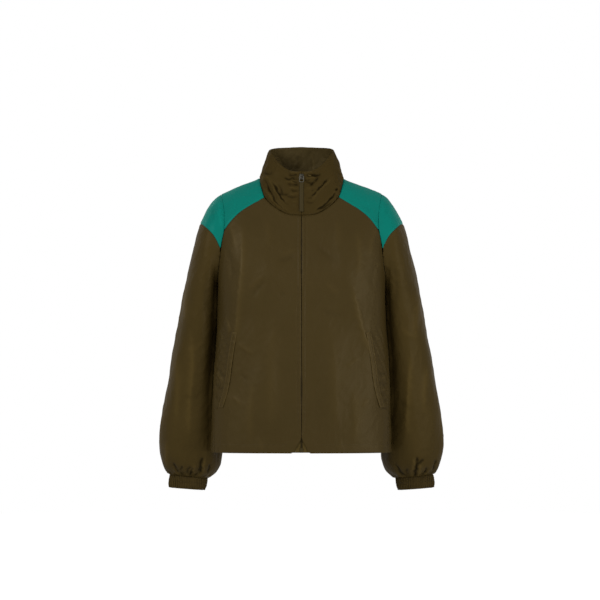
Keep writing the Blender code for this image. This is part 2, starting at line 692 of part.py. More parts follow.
class SleeveForm:
    """Form of one sleeve: columns run round from the armpit, forward, over and back."""

    def __init__(self, seams):
        self.side = seams.side
        loop = np.concatenate([seams.low_front[:-1], seams.high[:-1], seams.low_back[:-1]])
        self.columns = len(loop)
        self.armhole = loop
        self.first_turns = self.turns_of(loop)

    def frame(self, table, ring):
        """Centre, half axis towards the outside, half depth and squareness of a ring."""
        outer = np.array([self.side * table.read("outer", ring), 0.0, table.read("outer_up", ring)])
        inner = np.array([self.side * table.read("inner", ring), 0.0, table.read("inner_up", ring)])
        centre = (outer + inner) / 2
        centre[1] = table.read("middle", ring)
        return centre, (outer - inner) / 2, table.read("half", ring), table.read("square", ring)

    def turns_of(self, loop):
        """Turn of each armhole point round the first ring: 0 outside, a quarter in front."""
        centre, axis, half, _ = self.frame(SLEEVE, 0)
        turns = []
        for point in loop:
            out = np.dot(point - centre, axis) / np.dot(axis, axis)
            turns.append(math.atan2(-(point[1] - centre[1]) / half, out))
        turns[0] = math.pi
        return np.unwrap(turns)

    def turn(self, column, ring):
        """Turn of a column at a ring: even round the cuff, as the armhole gives it above."""
        even = math.pi - 2 * math.pi * column / self.columns
        share = min(max(ring / EVEN_RING, 0.0), 1.0)
        share = share * share * (3 - 2 * share)
        return (1 - share) * self.first_turns[column % self.columns] + share * even

    def ring_point(self, table, column, ring, turn):
        """Point of the bare ring."""
        centre, axis, half, power = self.frame(table, ring)
        c, s = math.cos(turn), math.sin(turn)
        scale = (abs(c) ** power + abs(s) ** power) ** (-1 / power)
        return centre + scale * (axis * c + np.array([0.0, -half * s, 0.0]))

    def bare(self, column, ring):
        """Point of the sleeve form without its folds, kept clear of the body."""
        first = self.armhole[column]
        if ring < 1:
            low = max(0.0, min(1.0, (UNDERARM_TOP - first[2]) / UNDERARM_DEPTH))
            base = first + body_normal(self.side, first) * UNDERARM_CLEAR * low
            return (1 - ring) * base + ring * self.bare(column, 1) if ring > 0 else base
        point = self.ring_point(SLEEVE, column, ring, self.turn(column, ring))
        return self.kept_clear(point, ARM_CLEAR_TOP if ring < 2 else ARM_CLEAR)

    def kept_clear(self, point, clear):
        """The point moved out from the body's side where it comes too close."""
        up = min(point[2], CHEST)
        middle = BODY.read("middle", up)
        face = FRONT if point[1] < middle else BACK
        power = BODY.read("square_front" if face == FRONT else "square_back", up)
        reach = BODY.read("front" if face == FRONT else "back", up)
        share = abs(point[1] - middle) / reach
        if share >= 1 or point[2] > CHEST or point[2] < HEM - BELOW_HEM:
            return point
        limit = body_half(self.side, up) * (1 - share ** power) ** (1 / power) + clear
        excess = limit - abs(point[0])
        push = 0.5 * (excess + math.hypot(excess, ARM_SOFT))
        return point + np.array([self.side * push, 0.0, 0.0])

    def normal(self, column, ring):
        """Outward direction of the form, turned to the body's along the capped armhole."""
        before, after = self.bare((column - 1) % self.columns, ring), self.bare(
            (column + 1) % self.columns, ring)
        low, high = max(ring - 0.5, 0.0), min(ring + 0.5, LAST_RING)
        down = self.bare(column, high) - self.bare(column, low)
        out = -unit(np.cross(after - before, down) * self.side)
        tip = min(column - CAP_COLUMNS[0], CAP_COLUMNS[1] - column) / CAP_TIP_COLUMNS
        if ring < CAP_BLEND and tip > 0:
            share = (1 - ring / CAP_BLEND) * min(tip, 1.0)
            out = unit((1 - share) * out + share * body_normal(self.side, self.armhole[column]))
        return out

    def lift(self, column, ring):
        """Height of the folds and gathers."""
        turn = math.degrees(self.turn(column, ring))
        total = 0.0
        for side, angle, first, last, half_width, height in SLEEVE_FOLDS:
            if side != self.side or not first < ring < last:
                continue
            away = (turn - angle + 180) % 360 - 180
            fade = math.sin(math.pi * (ring - first) / (last - first)) ** 0.7
            total += height * fade * math.exp(-(away / half_width) ** 2)
        wave = math.cos(2 * math.pi * column / GATHER_COLUMNS)
        uneven = 0.75 + 0.25 * math.sin(2.3 * column + self.side)
        return total + GATHERS.read("depth", ring) * wave * uneven


def cap_reach(column):
    """Ring where the teal cap ends at a column, or None where there is no cap."""
    first, last = CAP_COLUMNS
    if column < first or column > last:
        return None
    middle, half = (first + last) / 2, (last - first) / 2
    away = abs(column - middle) / half
    return CAP_TIP + (CAP_RING - CAP_TIP) * max(0.0, 1 - away ** 1.7)


def sleeve_skins(form, rows):
    """Skins of the sleeve form at a grid of (column, ring) pairs."""
    outer = np.zeros((len(rows), len(rows[0]), 3))
    inner = np.zeros_like(outer)
    for i, row in enumerate(rows):
        for j, (column, ring) in enumerate(row):
            point = form.bare(column, ring)
            out = form.normal(column, ring)
            height = form.lift(column, ring)
            outer[i, j] = point + out * height
            inner[i, j] = point + out * (height - WALL)
    return outer, inner


def build_sleeves(all_seams, olive, teal, dark):
    """Teal caps, olive sleeves and cuffs."""
    for side, seams in all_seams.items():
        form = SleeveForm(seams)
        reach = [cap_reach(j) for j in range(form.columns)]
        capped = [j for j in range(form.columns) if reach[j] is not None]

        rows = [[(j, reach[j] * i / ROWS_CAP) for j in capped] for i in range(ROWS_CAP + 1)]
        outer, inner = sleeve_skins(form, rows)
        outer, inner = eased(outer, inner, ("bottom", "top", "left", "right"))
        wall_mesh(f"sleeve_cap_{SIDE_NAMES[side]}", outer, inner, teal)

        starts = [reach[j] if reach[j] is not None else 0.0 for j in range(form.columns)]
        rows = [[(j, start + share * (FREE_RING - start)) for j, start in enumerate(starts)]
                for share in FIRST_ROWS]
        rows += [[(j, ring) for j in range(form.columns)] for ring in range(FREE_RING, LAST_RING + 1)]
        outer, inner = sleeve_skins(form, rows)
        outer, inner = ring_eased(outer, inner)
        wall_mesh(f"sleeve_{SIDE_NAMES[side]}", outer, inner, olive, ring=True)
        build_cuff(form, dark)


def ring_eased(outer, inner):
    """Both ends of a ring grid drawn back from their seams."""
    shift = np.zeros_like(outer)
    for where, beside in ((0, 1), (-1, -2)):
        way = outer[beside] - outer[where]
        along = np.roll(outer[where], -1, axis=0) - np.roll(outer[where], 1, axis=0)
        for k in range(len(way)):
            direction = unit(along[k])
            step = way[k] - direction * np.dot(way[k], direction)
            shift[where][k] = unit(step) * SEAM / 2
    return outer + shift, inner + shift


def build_cuff(form, cloth):
    """Elastic cuff with drawn-up ribs over a plain inside."""
    outer = np.zeros((CUFF_RINGS + 1, form.columns, 3))
    inner = np.zeros_like(outer)
    for ring in range(CUFF_RINGS + 1):
        centre = form.frame(CUFF, ring)[0]
        for column in range(form.columns):
            turn = form.turn(column, LAST_RING)
            point = form.ring_point(CUFF, column, ring, turn)
            out = unit((point - centre) * (1.0, 1.0, 0.2))
            rib = CUFF_RIB if column % 2 else -CUFF_RIB
            outer[ring, column] = point + out * rib
            inner[ring, column] = point - out * WALL
    outer, inner = ring_eased(outer, inner)
    wall_mesh(f"cuff_{SIDE_NAMES[form.side]}", outer, inner, cloth, ring=True)


def collar_top(base):
    """Point of the collar's top edge above a point of the neck seam."""
    angle = math.atan2(abs(base[0]), -(base[1] - RIDGE_Y))
    reach = (RIDGE_Y - COLLAR_TOP_FRONT) if angle < math.pi / 2 else (COLLAR_TOP_BACK - RIDGE_Y)
    scale = 1 / math.hypot(math.sin(angle) / COLLAR_TOP_HALF, math.cos(angle) / reach)
    across = scale * math.sin(angle) * (1 if base[0] >= 0 else -1)
    if abs(base[0]) < COLLAR_FLAT:
        across = base[0]
        share = min(abs(across) / COLLAR_TOP_HALF, 1.0)
        depth = RIDGE_Y - math.copysign(reach, math.cos(angle)) * math.sqrt(1 - share ** 2)
        return np.array([across, depth, COLLAR_TOP.read("up", math.degrees(angle))])
    return np.array([across, RIDGE_Y - scale * math.cos(angle),
                     COLLAR_TOP.read("up", math.degrees(angle))])


def collar_point(base, rise):
    """Point of the collar form above a point of the neck seam."""
    top = collar_top(base)
    out = unit(np.array([base[0], base[1] - RIDGE_Y, 0.0]))
    return base + rise * (top - base) + out * COLLAR_SWELL * math.sin(math.pi * rise)


def collar_normal(base, rise):
    """Outward direction of the collar form."""
    low, high = max(rise - COLLAR_STEP, 0.0), min(rise + COLLAR_STEP, 1.0)
    climb = collar_point(base, high) - collar_point(base, low)
    flat = np.array([base[1] - RIDGE_Y, -base[0], 0.0])
    top = collar_top(base)
    flat_top = np.array([(top[1] - RIDGE_Y) * COLLAR_ROUND, -top[0], 0.0])
    along = unit(flat) * (1 - rise) + unit(flat_top) * rise
    if abs(base[0]) < COLLAR_FLAT:
        along = np.array([math.copysign(1.0, base[1] - RIDGE_Y), 0.0, 0.0])
    out = unit(np.cross(along, climb))
    outward = np.dot(out, (base[0], base[1] - RIDGE_Y, 0.0))
    return out if outward > 0 else -out


def build_collar(all_seams, cloth):
    """Stand collar, from one front edge round the back to the other."""
    halves = {}
    for side, seams in all_seams.items():
        halves[side] = np.concatenate([seams.neck_front, seams.neck_side[1:],
                                       seams.neck_back[::-1][1:]])
    base = np.concatenate([halves[RIGHT], halves[LEFT][::-1][1:]])
    outer = np.zeros((ROWS_COLLAR + 1, len(base), 3))
    inner = np.zeros_like(outer)
    for i in range(ROWS_COLLAR + 1):
        rise = i / ROWS_COLLAR
        for j, foot in enumerate(base):
            point = collar_point(foot, rise)
            out = collar_normal(foot, rise)
            height = 0.0
            if foot[1] < RIDGE_Y and 0.0 < rise < 1.0:
                height = fold_height(COLLAR_FOLDS, point[0], point[2])
            outer[i, j] = point + out * height
            inner[i, j] = point + out * (height - WALL)
    outer, inner = eased(outer, inner, ("bottom",), gap=2 * SEAM)
    wall_mesh("collar", outer, inner, cloth)


def zip_line(all_seams, side, across):
    """Points and outward directions up the zip at a distance from the centre line."""
    seams = all_seams[side]
    ups = [HEM + TAPE_FOOT, *seams.centre_front[1:-1, 2]]
    line = []
    for up in ups:
        point = on_wall(side, FRONT, across, up)
        line.append((point, body_normal(side, point)))
    foot = seams.neck_front[0].copy()
    foot[0] = side * across
    line.append((foot, unit(body_normal(side, foot) + collar_normal(foot, 0.0))))
    for rise in np.linspace(0, TAPE_HEAD, 9)[1:]:
        line.append((collar_point(foot, rise), collar_normal(foot, rise)))
    return line


def build_zip(all_seams, cloth, metal):
    """Zip tapes behind the fronts and the chain between them."""
    for side in all_seams:
        columns = [zip_line(all_seams, side, x) for x in (TAPE_NEAR, (TAPE_NEAR + TAPE_FAR) / 2, TAPE_FAR)]
        outer = np.array([[p - n * TAPE_DEPTH for p, n in column] for column in columns])
        inner = np.array([[p - n * (TAPE_DEPTH + TAPE_WALL) for p, n in column] for column in columns])
        wall_mesh(f"zip_tape_{SIDE_NAMES[side]}", outer, inner, cloth)
    columns = [zip_line(all_seams, RIGHT, CHAIN_HALF), zip_line(all_seams, LEFT, CHAIN_HALF)]
    outer = np.array([[p - n * TAPE_DEPTH for p, n in column] for column in columns])
    inner = np.array([[p - n * (TAPE_DEPTH + CHAIN_WALL) for p, n in column] for column in columns])
    wall_mesh("zip_chain", outer, inner, metal)


def slider_frame(all_seams):
    """Place on the collar under the slider, the outward direction and the way down the zip."""
    foot = all_seams[LEFT].neck_front[0].copy()
    foot[0] = 0.0
    out = collar_normal(foot, SLIDER_RISE)
    seat = collar_point(foot, SLIDER_RISE)
    return seat, out, unit(np.cross((1.0, 0.0, 0.0), out))


def oriented(out, down):
    """Rotation whose local -Y is out and whose local -Z is down the zip."""
    local_y = Vector(-out)
    local_z = Vector(-down)
    local_x = local_y.cross(local_z)
    return Matrix((local_x, local_y, local_z)).transposed()


def box_mesh(size, bevel):
    """Block with rounded edges."""
    bm = bmesh.new()
    bmesh.ops.create_cube(bm, size=1.0)
    bmesh.ops.scale(bm, vec=size, verts=bm.verts)
    bmesh.ops.bevel(bm, geom=bm.edges[:], offset=bevel, segments=2, profile=0.5, affect="EDGES",
                    material=-1)
    return bm


def place_mesh(piece, rotation, where):
    """Sets where a hard piece sits and how it is turned."""
    piece.rotation_mode = "QUATERNION"
    piece.rotation_quaternion = rotation.to_quaternion()
    piece.location = where


def build_slider(all_seams, metal):
    """Slider block with the wire bail that the pull hangs on."""
    seat, out, down = slider_frame(all_seams)
    rotation = oriented(out, down)
    block = box_mesh((SLIDER_WIDTH, SLIDER_DEPTH, SLIDER_HEIGHT), HARD_BEVEL)
    body = add_object("zip_slider", block, metal)
    place_mesh(body, rotation, seat + out * (REST + SLIDER_DEPTH / 2))

    bail = bpy.data.curves.new("bail", "CURVE")
    bail.dimensions = "3D"
    bail.bevel_depth = BAIL_WIRE
    bail.bevel_resolution = 2
    bail.use_fill_caps = True
    line = bail.splines.new("POLY")
    face = -SLIDER_DEPTH / 2
    points = [(0.0, face + BAIL_ROOT, BAIL_RADIUS)]
    for step in range(9):
        angle = math.pi * step / 8
        points.append((0.0, face - PIVOT_STAND - BAIL_RADIUS * math.sin(angle),
                       BAIL_RADIUS * math.cos(angle)))
    points.append((0.0, face + BAIL_ROOT, -BAIL_RADIUS))
    line.points.add(len(points) - 1)
    for knot, point in zip(line.points, points):
        knot.co = (*point, 1.0)
    guide = bpy.data.objects.new("bail_guide", bail)
    jacket().objects.link(guide)
    place_mesh(guide, rotation, body.location)
    bpy.context.view_layer.update()
    mesh = bpy.data.meshes.new_from_object(guide.evaluated_get(bpy.context.evaluated_depsgraph_get()))
    bm = bmesh.new()
    bm.from_mesh(mesh)
    bmesh.ops.remove_doubles(bm, verts=bm.verts, dist=WELD)
    bm.to_mesh(mesh)
    bm.free()
    cutter = bpy.data.objects.new("bail_solid", mesh)
    cutter.matrix_world = guide.matrix_world
    cutter.hide_render = True
    cutter.display_type = "WIRE"
    helpers = bpy.data.collections.new("cutters")
    bpy.context.scene.collection.children.link(helpers)
    helpers.objects.link(cutter)
    bpy.data.objects.remove(guide)
    union = body.modifiers.new("bail", "BOOLEAN")
    union.operation = "UNION"
    union.object = cutter


def build_pull(all_seams, metal, rubber):
    """Two-hole link on the bail and the strap below it, hung down the collar."""
    seat, out, _ = slider_frame(all_seams)
    pivot = seat + out * (REST + SLIDER_DEPTH + PIVOT_STAND)
    foot = all_seams[LEFT].neck_front[0].copy()
    foot[0] = 0.0
    link_length = 3 * LINK_BAR + 2 * LINK_HOLE
    aim = foot + np.array([0.0, -STRAP_LIFT, 0.0]) - pivot
    down = unit(np.array([0.0, aim[1], aim[2]]))
    away = np.array([0.0, down[2], -down[1]])
    rotation = oriented(away if away[1] < 0 else -away, down)

    outline = bpy.data.curves.new("zip_link", "CURVE")
    outline.dimensions = "2D"
    outline.fill_mode = "BOTH"
    outline.extrude = LINK_WALL / 2
    half = LINK_WIDTH / 2
    top = LINK_BAR / 2
    rounded_outline(outline, -half, half, top - link_length, top, LINK_CORNER)
    hole_half = half - LINK_BAR
    for start in (top - LINK_BAR - LINK_HOLE, top - 2 * LINK_BAR - 2 * LINK_HOLE):
        rounded_outline(outline, -hole_half, hole_half, start, start + LINK_HOLE, HOLE_CORNER)
    guide = bpy.data.objects.new("link_guide", outline)
    jacket().objects.link(guide)
    bpy.context.view_layer.update()
    mesh = bpy.data.meshes.new_from_object(guide.evaluated_get(bpy.context.evaluated_depsgraph_get()))
    bpy.data.objects.remove(guide)
    bm = bmesh.new()
    bm.from_mesh(mesh)
    bmesh.ops.remove_doubles(bm, verts=bm.verts, dist=WELD)
    bmesh.ops.rotate(bm, verts=bm.verts, cent=(0, 0, 0), matrix=turn_up())
    link = add_object("zip_link", bm, metal)
    place_mesh(link, rotation, pivot)

    bm = box_mesh((STRAP_WIDTH, STRAP_WALL, STRAP_LENGTH), HARD_BEVEL)
    drop = link_length - top + REST + STRAP_LENGTH / 2
    bmesh.ops.translate(bm, vec=(0.0, 0.0, -drop), verts=bm.verts)
    strap = add_object("zip_strap", bm, rubber)
    place_mesh(strap, rotation, pivot)


def turn_up():
    """Quarter turn that stands a flat outline up in the XZ plane."""
    return Matrix.Rotation(math.pi / 2, 3, "X")


def rounded_outline(outline, x0, x1, y0, y1, radius):
    """Closed outline of a rectangle with round corners."""
    points = []
    corners = ((x1, y1, 0), (x0, y1, 90), (x0, y0, 180), (x1, y0, 270))
    for x, y, start in corners:
        cx = x - radius if x == x1 else x + radius
        cy = y - radius if y == y1 else y + radius
        for step in range(4):
            angle = math.radians(start + 30 * step)
            points.append((cx + radius * math.cos(angle), cy + radius * math.sin(angle)))
    line = outline.splines.new("POLY")
    line.points.add(len(points) - 1)
    for knot, (x, y) in zip(line.points, points):
        knot.co = (x, y, 0.0, 1.0)
    line.use_cyclic_u = True


def build_pockets(all_seams, cloth):
    """Folded edges of the slanted pockets, laid on the fronts."""
    for side in all_seams:
        line = resample([spline(POCKET_EDGE, share) for share in np.linspace(0, 1, 40)], 9)
        grid = []
        for offset in (0.0, POCKET_WIDTH / 2, POCKET_WIDTH):
            grid.append([on_wall(side, FRONT, across - offset, up) for across, up in line])
        grid = np.array(grid)
        outer, inner = skins(side, grid, POCKET_WALL, POCKET_WALL + POCKET_REST)
        wall_mesh(f"pocket_{SIDE_NAMES[side]}", outer, inner, cloth)


def main():
    """Builds the jacket."""
    for old in list(bpy.data.objects):
        bpy.data.objects.remove(old)
    olive = finish("olive nylon", OLIVE, NYLON_ROUGH)
    dark = finish("olive cuff", OLIVE_DARK, TRIM_ROUGH)
    teal = finish("teal nylon", TEAL, NYLON_ROUGH)
    metal = finish("grey metal", STEEL, METAL_ROUGH, 1.0)
    rubber = finish("olive strap", RUBBER, TRIM_ROUGH)
    all_seams = {LEFT: Seams(LEFT), RIGHT: Seams(RIGHT)}
    build_fronts(all_seams, olive)
    build_back(all_seams, olive)
    build_yokes(all_seams, teal)
    build_sleeves(all_seams, olive, teal, dark)
    build_collar(all_seams, olive)
    build_pockets(all_seams, olive)
    build_zip(all_seams, dark, metal)
    build_slider(all_seams, metal)
    build_pull(all_seams, metal, rubber)


main()
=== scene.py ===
"""Looks of the zip-through anorak: its cloth, folds, sewing, zip and studio.

Every cloth piece starts from the outer face of its solid, is made finer, gets the folds that
the nylon has, and ends as a thin shell. Lengths in the tables of folds are millimetres, as
seen from the view that the fold is named for. Everything else is metres, and +Z is up. The
jacket faces -Y, so the wearer's left is at +X and on the right of the front view.
"""

import json
import logging
import math
from collections.abc import Callable, Iterable, Sequence
from dataclasses import dataclass, field, replace
from enum import Enum

import bmesh
import bpy
import numpy as np
from mathutils import Matrix, Vector
from mathutils.bvhtree import BVHTree
from mathutils.kdtree import KDTree


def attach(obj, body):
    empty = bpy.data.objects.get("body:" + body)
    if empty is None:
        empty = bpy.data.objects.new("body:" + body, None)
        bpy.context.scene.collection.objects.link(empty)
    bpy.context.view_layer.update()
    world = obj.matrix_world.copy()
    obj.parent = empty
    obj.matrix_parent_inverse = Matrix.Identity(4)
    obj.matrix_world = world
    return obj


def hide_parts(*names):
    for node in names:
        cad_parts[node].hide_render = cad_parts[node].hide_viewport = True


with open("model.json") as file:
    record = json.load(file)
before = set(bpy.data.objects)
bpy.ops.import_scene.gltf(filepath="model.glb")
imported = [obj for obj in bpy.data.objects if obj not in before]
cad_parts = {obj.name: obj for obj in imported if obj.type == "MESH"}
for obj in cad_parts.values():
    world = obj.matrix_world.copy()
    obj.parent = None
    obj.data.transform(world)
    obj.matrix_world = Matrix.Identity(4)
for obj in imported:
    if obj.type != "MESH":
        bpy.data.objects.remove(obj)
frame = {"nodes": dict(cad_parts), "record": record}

log = logging.getLogger("anorak")

Test = Callable[[Vector], bool]
Colour = tuple[float, float, float]

MM = 0.001
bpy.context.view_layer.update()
GARMENT = "garment"
PULL = "zip_pull"
MERGE = 0.00001                  # distance within which a solid's loose triangles are joined
RIM_ANGLE = math.radians(55)     # a skin ends where its faces turn more sharply than this
CORNER_ANGLE = math.radians(32)  # an outline that turns more sharply than this keeps its corner
HEM = -0.575
HEM_BAND = HEM + 0.012           # outline below this height is the hem
HEM_TURN = 0.0195                # height of the turned hem
TURNED = 0.0005                  # how much a turned edge stands out
SHELL = 0.0011                   # thickness of a finished shell
EDGE_ROUND = 0.00035             # rounding of its cut edges
SLOT = 0.0016                    # half of the slot between the fronts of the solids
SEAM_INSET = 0.0024              # distance from a seam to its row of stitches


class Side(Enum):
    """The two sides of the wearer."""

    LEFT = 1
    RIGHT = -1

    @property
    def label(self) -> str:
        """Ending of the names of this side's nodes."""
        return self.name.lower()


class View(Enum):
    """Directions that a fold is drawn from: two axes to draw along, and one to look from."""

    FRONT = (0, 2, (0.0, -1.0, 0.0))
    BACK = (0, 2, (0.0, 1.0, 0.0))
    LEFT = (1, 2, (1.0, 0.0, 0.0))
    RIGHT = (1, 2, (-1.0, 0.0, 0.0))

    def flat(self, points: np.ndarray) -> np.ndarray:
        """The points as this view sees them, in two columns: across and up."""
        return points[:, self.value[:2]]

    def facing(self, normals: np.ndarray) -> np.ndarray:
        """How much each normal faces this view, from 0, turned away, to 1."""
        return smooth_step(normals @ np.array(self.value[2]), -0.05, 0.35)


def tree_of(spots: Sequence[Vector]) -> KDTree:
    """Makes places searchable.

    Args:
        spots: the places.

    Returns:
        A tree that finds the nearest of them.
    """
    tree = KDTree(len(spots))
    for index, spot in enumerate(spots):
        tree.insert(spot, index)
    tree.balance()
    return tree


def placed(name: str, data: bpy.types.ID) -> bpy.types.Object:
    """Puts an object into the scene.

    Args:
        name: its name.
        data: what it shows.

    Returns:
        The object.
    """
    item = bpy.data.objects.new(name, data)
    bpy.context.scene.collection.objects.link(item)
    return item


def mesh_from(name: str, bm: bmesh.types.BMesh) -> bpy.types.Mesh:
    """Mesh made from a bmesh.

    Args:
        name: the mesh's name.
        bm: the bmesh, which is used up.

    Returns:
        The mesh.
    """
    mesh = bpy.data.meshes.new(name)
    bm.to_mesh(mesh)
    bm.free()
    return mesh


def turned(along: Vector, across: Vector, up: Vector) -> Matrix:
    """Matrix that turns X, Y and Z to three directions."""
    return Matrix((along, across, up)).transposed().to_4x4()


def round_edges(piece: bpy.types.Object, width: float, segments: int, angle: float) -> bpy.types.Modifier:
    """Adds a bevel.

    Args:
        piece: the object.
        width: width of the bevel.
        segments: how many faces it has across.
        angle: edges that turn more than this, in degrees, get it.

    Returns:
        The modifier.
    """
    edge = piece.modifiers.new("edge", "BEVEL")
    edge.width = width
    edge.segments = segments
    edge.limit_method = "ANGLE"
    edge.angle_limit = math.radians(angle)
    return edge


def smooth_step(values: np.ndarray, low: float, high: float | np.ndarray) -> np.ndarray:
    """Soft step at some values, from 0 at the low one to 1 at the high one."""
    share = np.clip((values - low) / (high - low), 0.0, 1.0)
    return share * share * (3 - 2 * share)


def fade(values: np.ndarray, low: float, high: float | np.ndarray) -> np.ndarray:
    """The soft step the other way: 1 below the low value and 0 above the high one."""
    return 1 - smooth_step(values, low, high)


def rounded_path(knots: Sequence[Sequence[float]], steps: int = 6) -> np.ndarray:
    """Smooth line through some knots.

    Args:
        knots: the points that the line passes, in order.
        steps: how many stretches each span gets.

    Returns:
        The points of the line, one a row.
    """
    given = np.array(knots, dtype=float)
    if len(given) < 3:
        return np.array([given[0] + (given[-1] - given[0]) * share for share in np.linspace(0, 1, steps + 1)])
    ends = np.vstack([2 * given[0] - given[1], given, 2 * given[-1] - given[-2]])
    line = []
    for k in range(1, len(ends) - 2):
        before, start, end, after = ends[k - 1:k + 3]
        for share in np.linspace(0, 1, steps, endpoint=False):
            line.append(0.5 * (2 * start + (end - before) * share
                               + (2 * before - 5 * start + 4 * end - after) * share ** 2
                               + (3 * start - before - 3 * end + after) * share ** 3))
    line.append(given[-1])
    return np.array(line)


def ripple(points: np.ndarray, length: float, seed: int) -> np.ndarray:
    """Uneven waves without a grid's regularity, the same at the same place on every piece.

    Args:
        points: where to read the waves.
        length: typical distance between two crests, in metres.
        seed: which set of waves.

    Returns:
        Values of about -1 to 1.
    """
    source = np.random.RandomState(seed)
    total = np.zeros(len(points))
    for _ in range(9):
        way = source.normal(size=3)
        way *= source.uniform(0.7, 1.5) / np.linalg.norm(way)
        bend = 0.8 * np.sin(points @ source.normal(size=3) * 4 / length / 3 + source.uniform(0, 6))
        total += np.sin(points @ way * 2 * math.pi / length + source.uniform(0, 6) + bend)
    return total / 4.5


class Route:
    """Line through some knots, read by its length."""

    def __init__(self, knots: np.ndarray) -> None:
        """Measures the line through the knots, one a row."""
        self.knots = knots
        self.run = np.concatenate([[0.0], np.cumsum(np.linalg.norm(np.diff(knots, axis=0), axis=1))])

    def at(self, along: float) -> Vector:
        """The place that far along the line."""
        return Vector([np.interp(along, self.run, self.knots[:, axis]) for axis in range(3)])


@dataclass(frozen=True)
class Groove:
    """Dent or welt that follows a line of the cloth.

    Attributes:
        height: its height; a dent is below zero.
        width: distance from its middle to where it has mostly gone.
        at: distance of its middle from the line.
    """

    height: float
    width: float
    at: float = 0.0

    def over(self, away: np.ndarray) -> np.ndarray:
        """Its height at some distances from the line."""
        return self.height * np.exp(-((away - self.at) / self.width) ** 2)


@dataclass(frozen=True)
class Pucker:
    """Small waves along a line of the cloth.

    Attributes:
        height: their height.
        length: typical distance between two crests.
        seed: which set of waves.
        reach: distance from the line over which they fade.
        at: distance of their crest from the line.
    """

    height: float
    length: float
    seed: int
    reach: float
    at: float = 0.0

    def over(self, away: np.ndarray, foot: np.ndarray) -> np.ndarray:
        """Height of the waves at some distances from the line, whose nearest places are given."""
        near = np.exp(-np.abs(away - self.at) / self.reach)
        return self.height * ripple(foot, self.length, self.seed) * near


SEAM_WELT = Groove(0.00035, 0.0035, 0.0045)
SEAM_DENT = Groove(-0.0008, 0.0011)
HEM_DENT = Groove(-0.0004, 0.0018, HEM_TURN)
HEM_EDGE = Groove(-0.0005, 0.0015)
HEM_PUCKER = Pucker(0.0003, 0.016, 61, 0.012, HEM_TURN)
ZIP_PULL = Groove(0.00022, 0.011, 0.011)
ZIP_STITCH = Groove(-0.0006, 0.0016, 0.0092)
ZIP_EDGE = Groove(-0.0009, 0.0016, 0.0016)
COLLAR_PULL = Groove(0.0008, 0.013, 0.016)
COLLAR_BASE = Pucker(0.0011, 0.012, 64, 0.012)
COLLAR_TOP = Pucker(0.0004, 0.011, 66, 0.010)
TOP_STITCH = Groove(-0.0005, 0.0016, 0.0045)
TOP_EDGE = Groove(-0.0008, 0.0014)
CUFF_SEAM = Groove(-0.0009, 0.0012)
CUFF_ROW = Groove(-0.0004, 0.0011)
POCKET_STITCH = Groove(-0.0004, 0.0009, 0.0026)


@dataclass(frozen=True)
class Crease:
    """One soft ridge or trough of the cloth.

    Attributes:
        view: where it is drawn from.
        path: its line in that view, in millimetres.
        width: distance from its crest to where it has mostly gone, in millimetres.
        height: how far it stands out, in millimetres; a trough is below zero.
        lean: from -1 to 1, how much steeper its right-hand flank is than its left-hand one.
        crisp: how pointed its crest is: 2 is round, 1 is a sharp fold.
        taper: share of its length over which each end fades away.
    """

    view: View
    path: tuple[tuple[float, float], ...]
    width: float
    height: float
    lean: float
    crisp: float
    taper: float

    def lift(self, points: np.ndarray, normals: np.ndarray) -> np.ndarray:
        """Height that the fold adds.

        Args:
            points: places on the cloth, in metres.
            normals: the cloth's outward directions there.

        Returns:
            One height for each point, in metres.
        """
        line = rounded_path(self.path) * MM
        flat = self.view.flat(points)
        reach = 3.2 * self.width * MM * (1 + abs(self.lean))
        near = np.all((flat > line.min(axis=0) - reach) & (flat < line.max(axis=0) + reach), axis=1)
        result = np.zeros(len(points))
        if not near.any():
            return result
        spots = flat[near]
        best = np.full(len(spots), np.inf)
        share, hand = np.zeros((2, len(spots)))
        lengths = np.linalg.norm(np.diff(line, axis=0), axis=1)
        run = 0.0
        for start, end, length in zip(line[:-1], line[1:], lengths):
            along = np.clip((spots - start) @ (end - start) / length ** 2, 0.0, 1.0)
            away = spots - (start + along[:, None] * (end - start))
            distance = np.hypot(away[:, 0], away[:, 1])
            closer = distance < best
            best[closer] = distance[closer]
            share[closer] = (run + along[closer] * length) / lengths.sum()
            turn = (end - start)[0] * away[:, 1] - (end - start)[1] * away[:, 0]
            hand[closer] = np.sign(turn[closer])
            run += length
        width = self.width * MM * (1 + self.lean * hand)
        ends = smooth_step(np.minimum(share, 1 - share), -0.02, self.taper)
        result[near] = self.height * MM * ends * np.exp(-(best / width) ** self.crisp)
        return result * self.view.facing(normals)

    def marked(self) -> "Crease":
        """The fold as its painted highlight or painted shade shows it.

        Returns:
            A narrower fold, which is faint where it is wide, above all if it is a trough.
        """
        full_width = 5.0 if self.height < 0 else 10.0
        return replace(self, width=self.width * 0.78, crisp=1.7,
                       height=self.height * min(1.0, (full_width / self.width) ** 2))


def creases(view: View, crisp: float, taper: float, *rows: tuple) -> tuple[Crease, ...]:
    """Folds that are alike: each row is a path, a width, a height and, where it has one, a lean."""
    return tuple(Crease(view, *(*row, 0.0)[:4], crisp, taper) for row in rows)


def lifts(folds: Iterable[Crease], points: np.ndarray, normals: np.ndarray) -> np.ndarray:
    """Height in metres that several folds add together, at each point of the cloth."""
    return sum((fold.lift(points, normals) for fold in folds), np.zeros(len(points)))


def shaded(colour: tuple, factor: float) -> tuple:
    """A colour made lighter or darker."""
    return tuple(channel * factor for channel in colour)


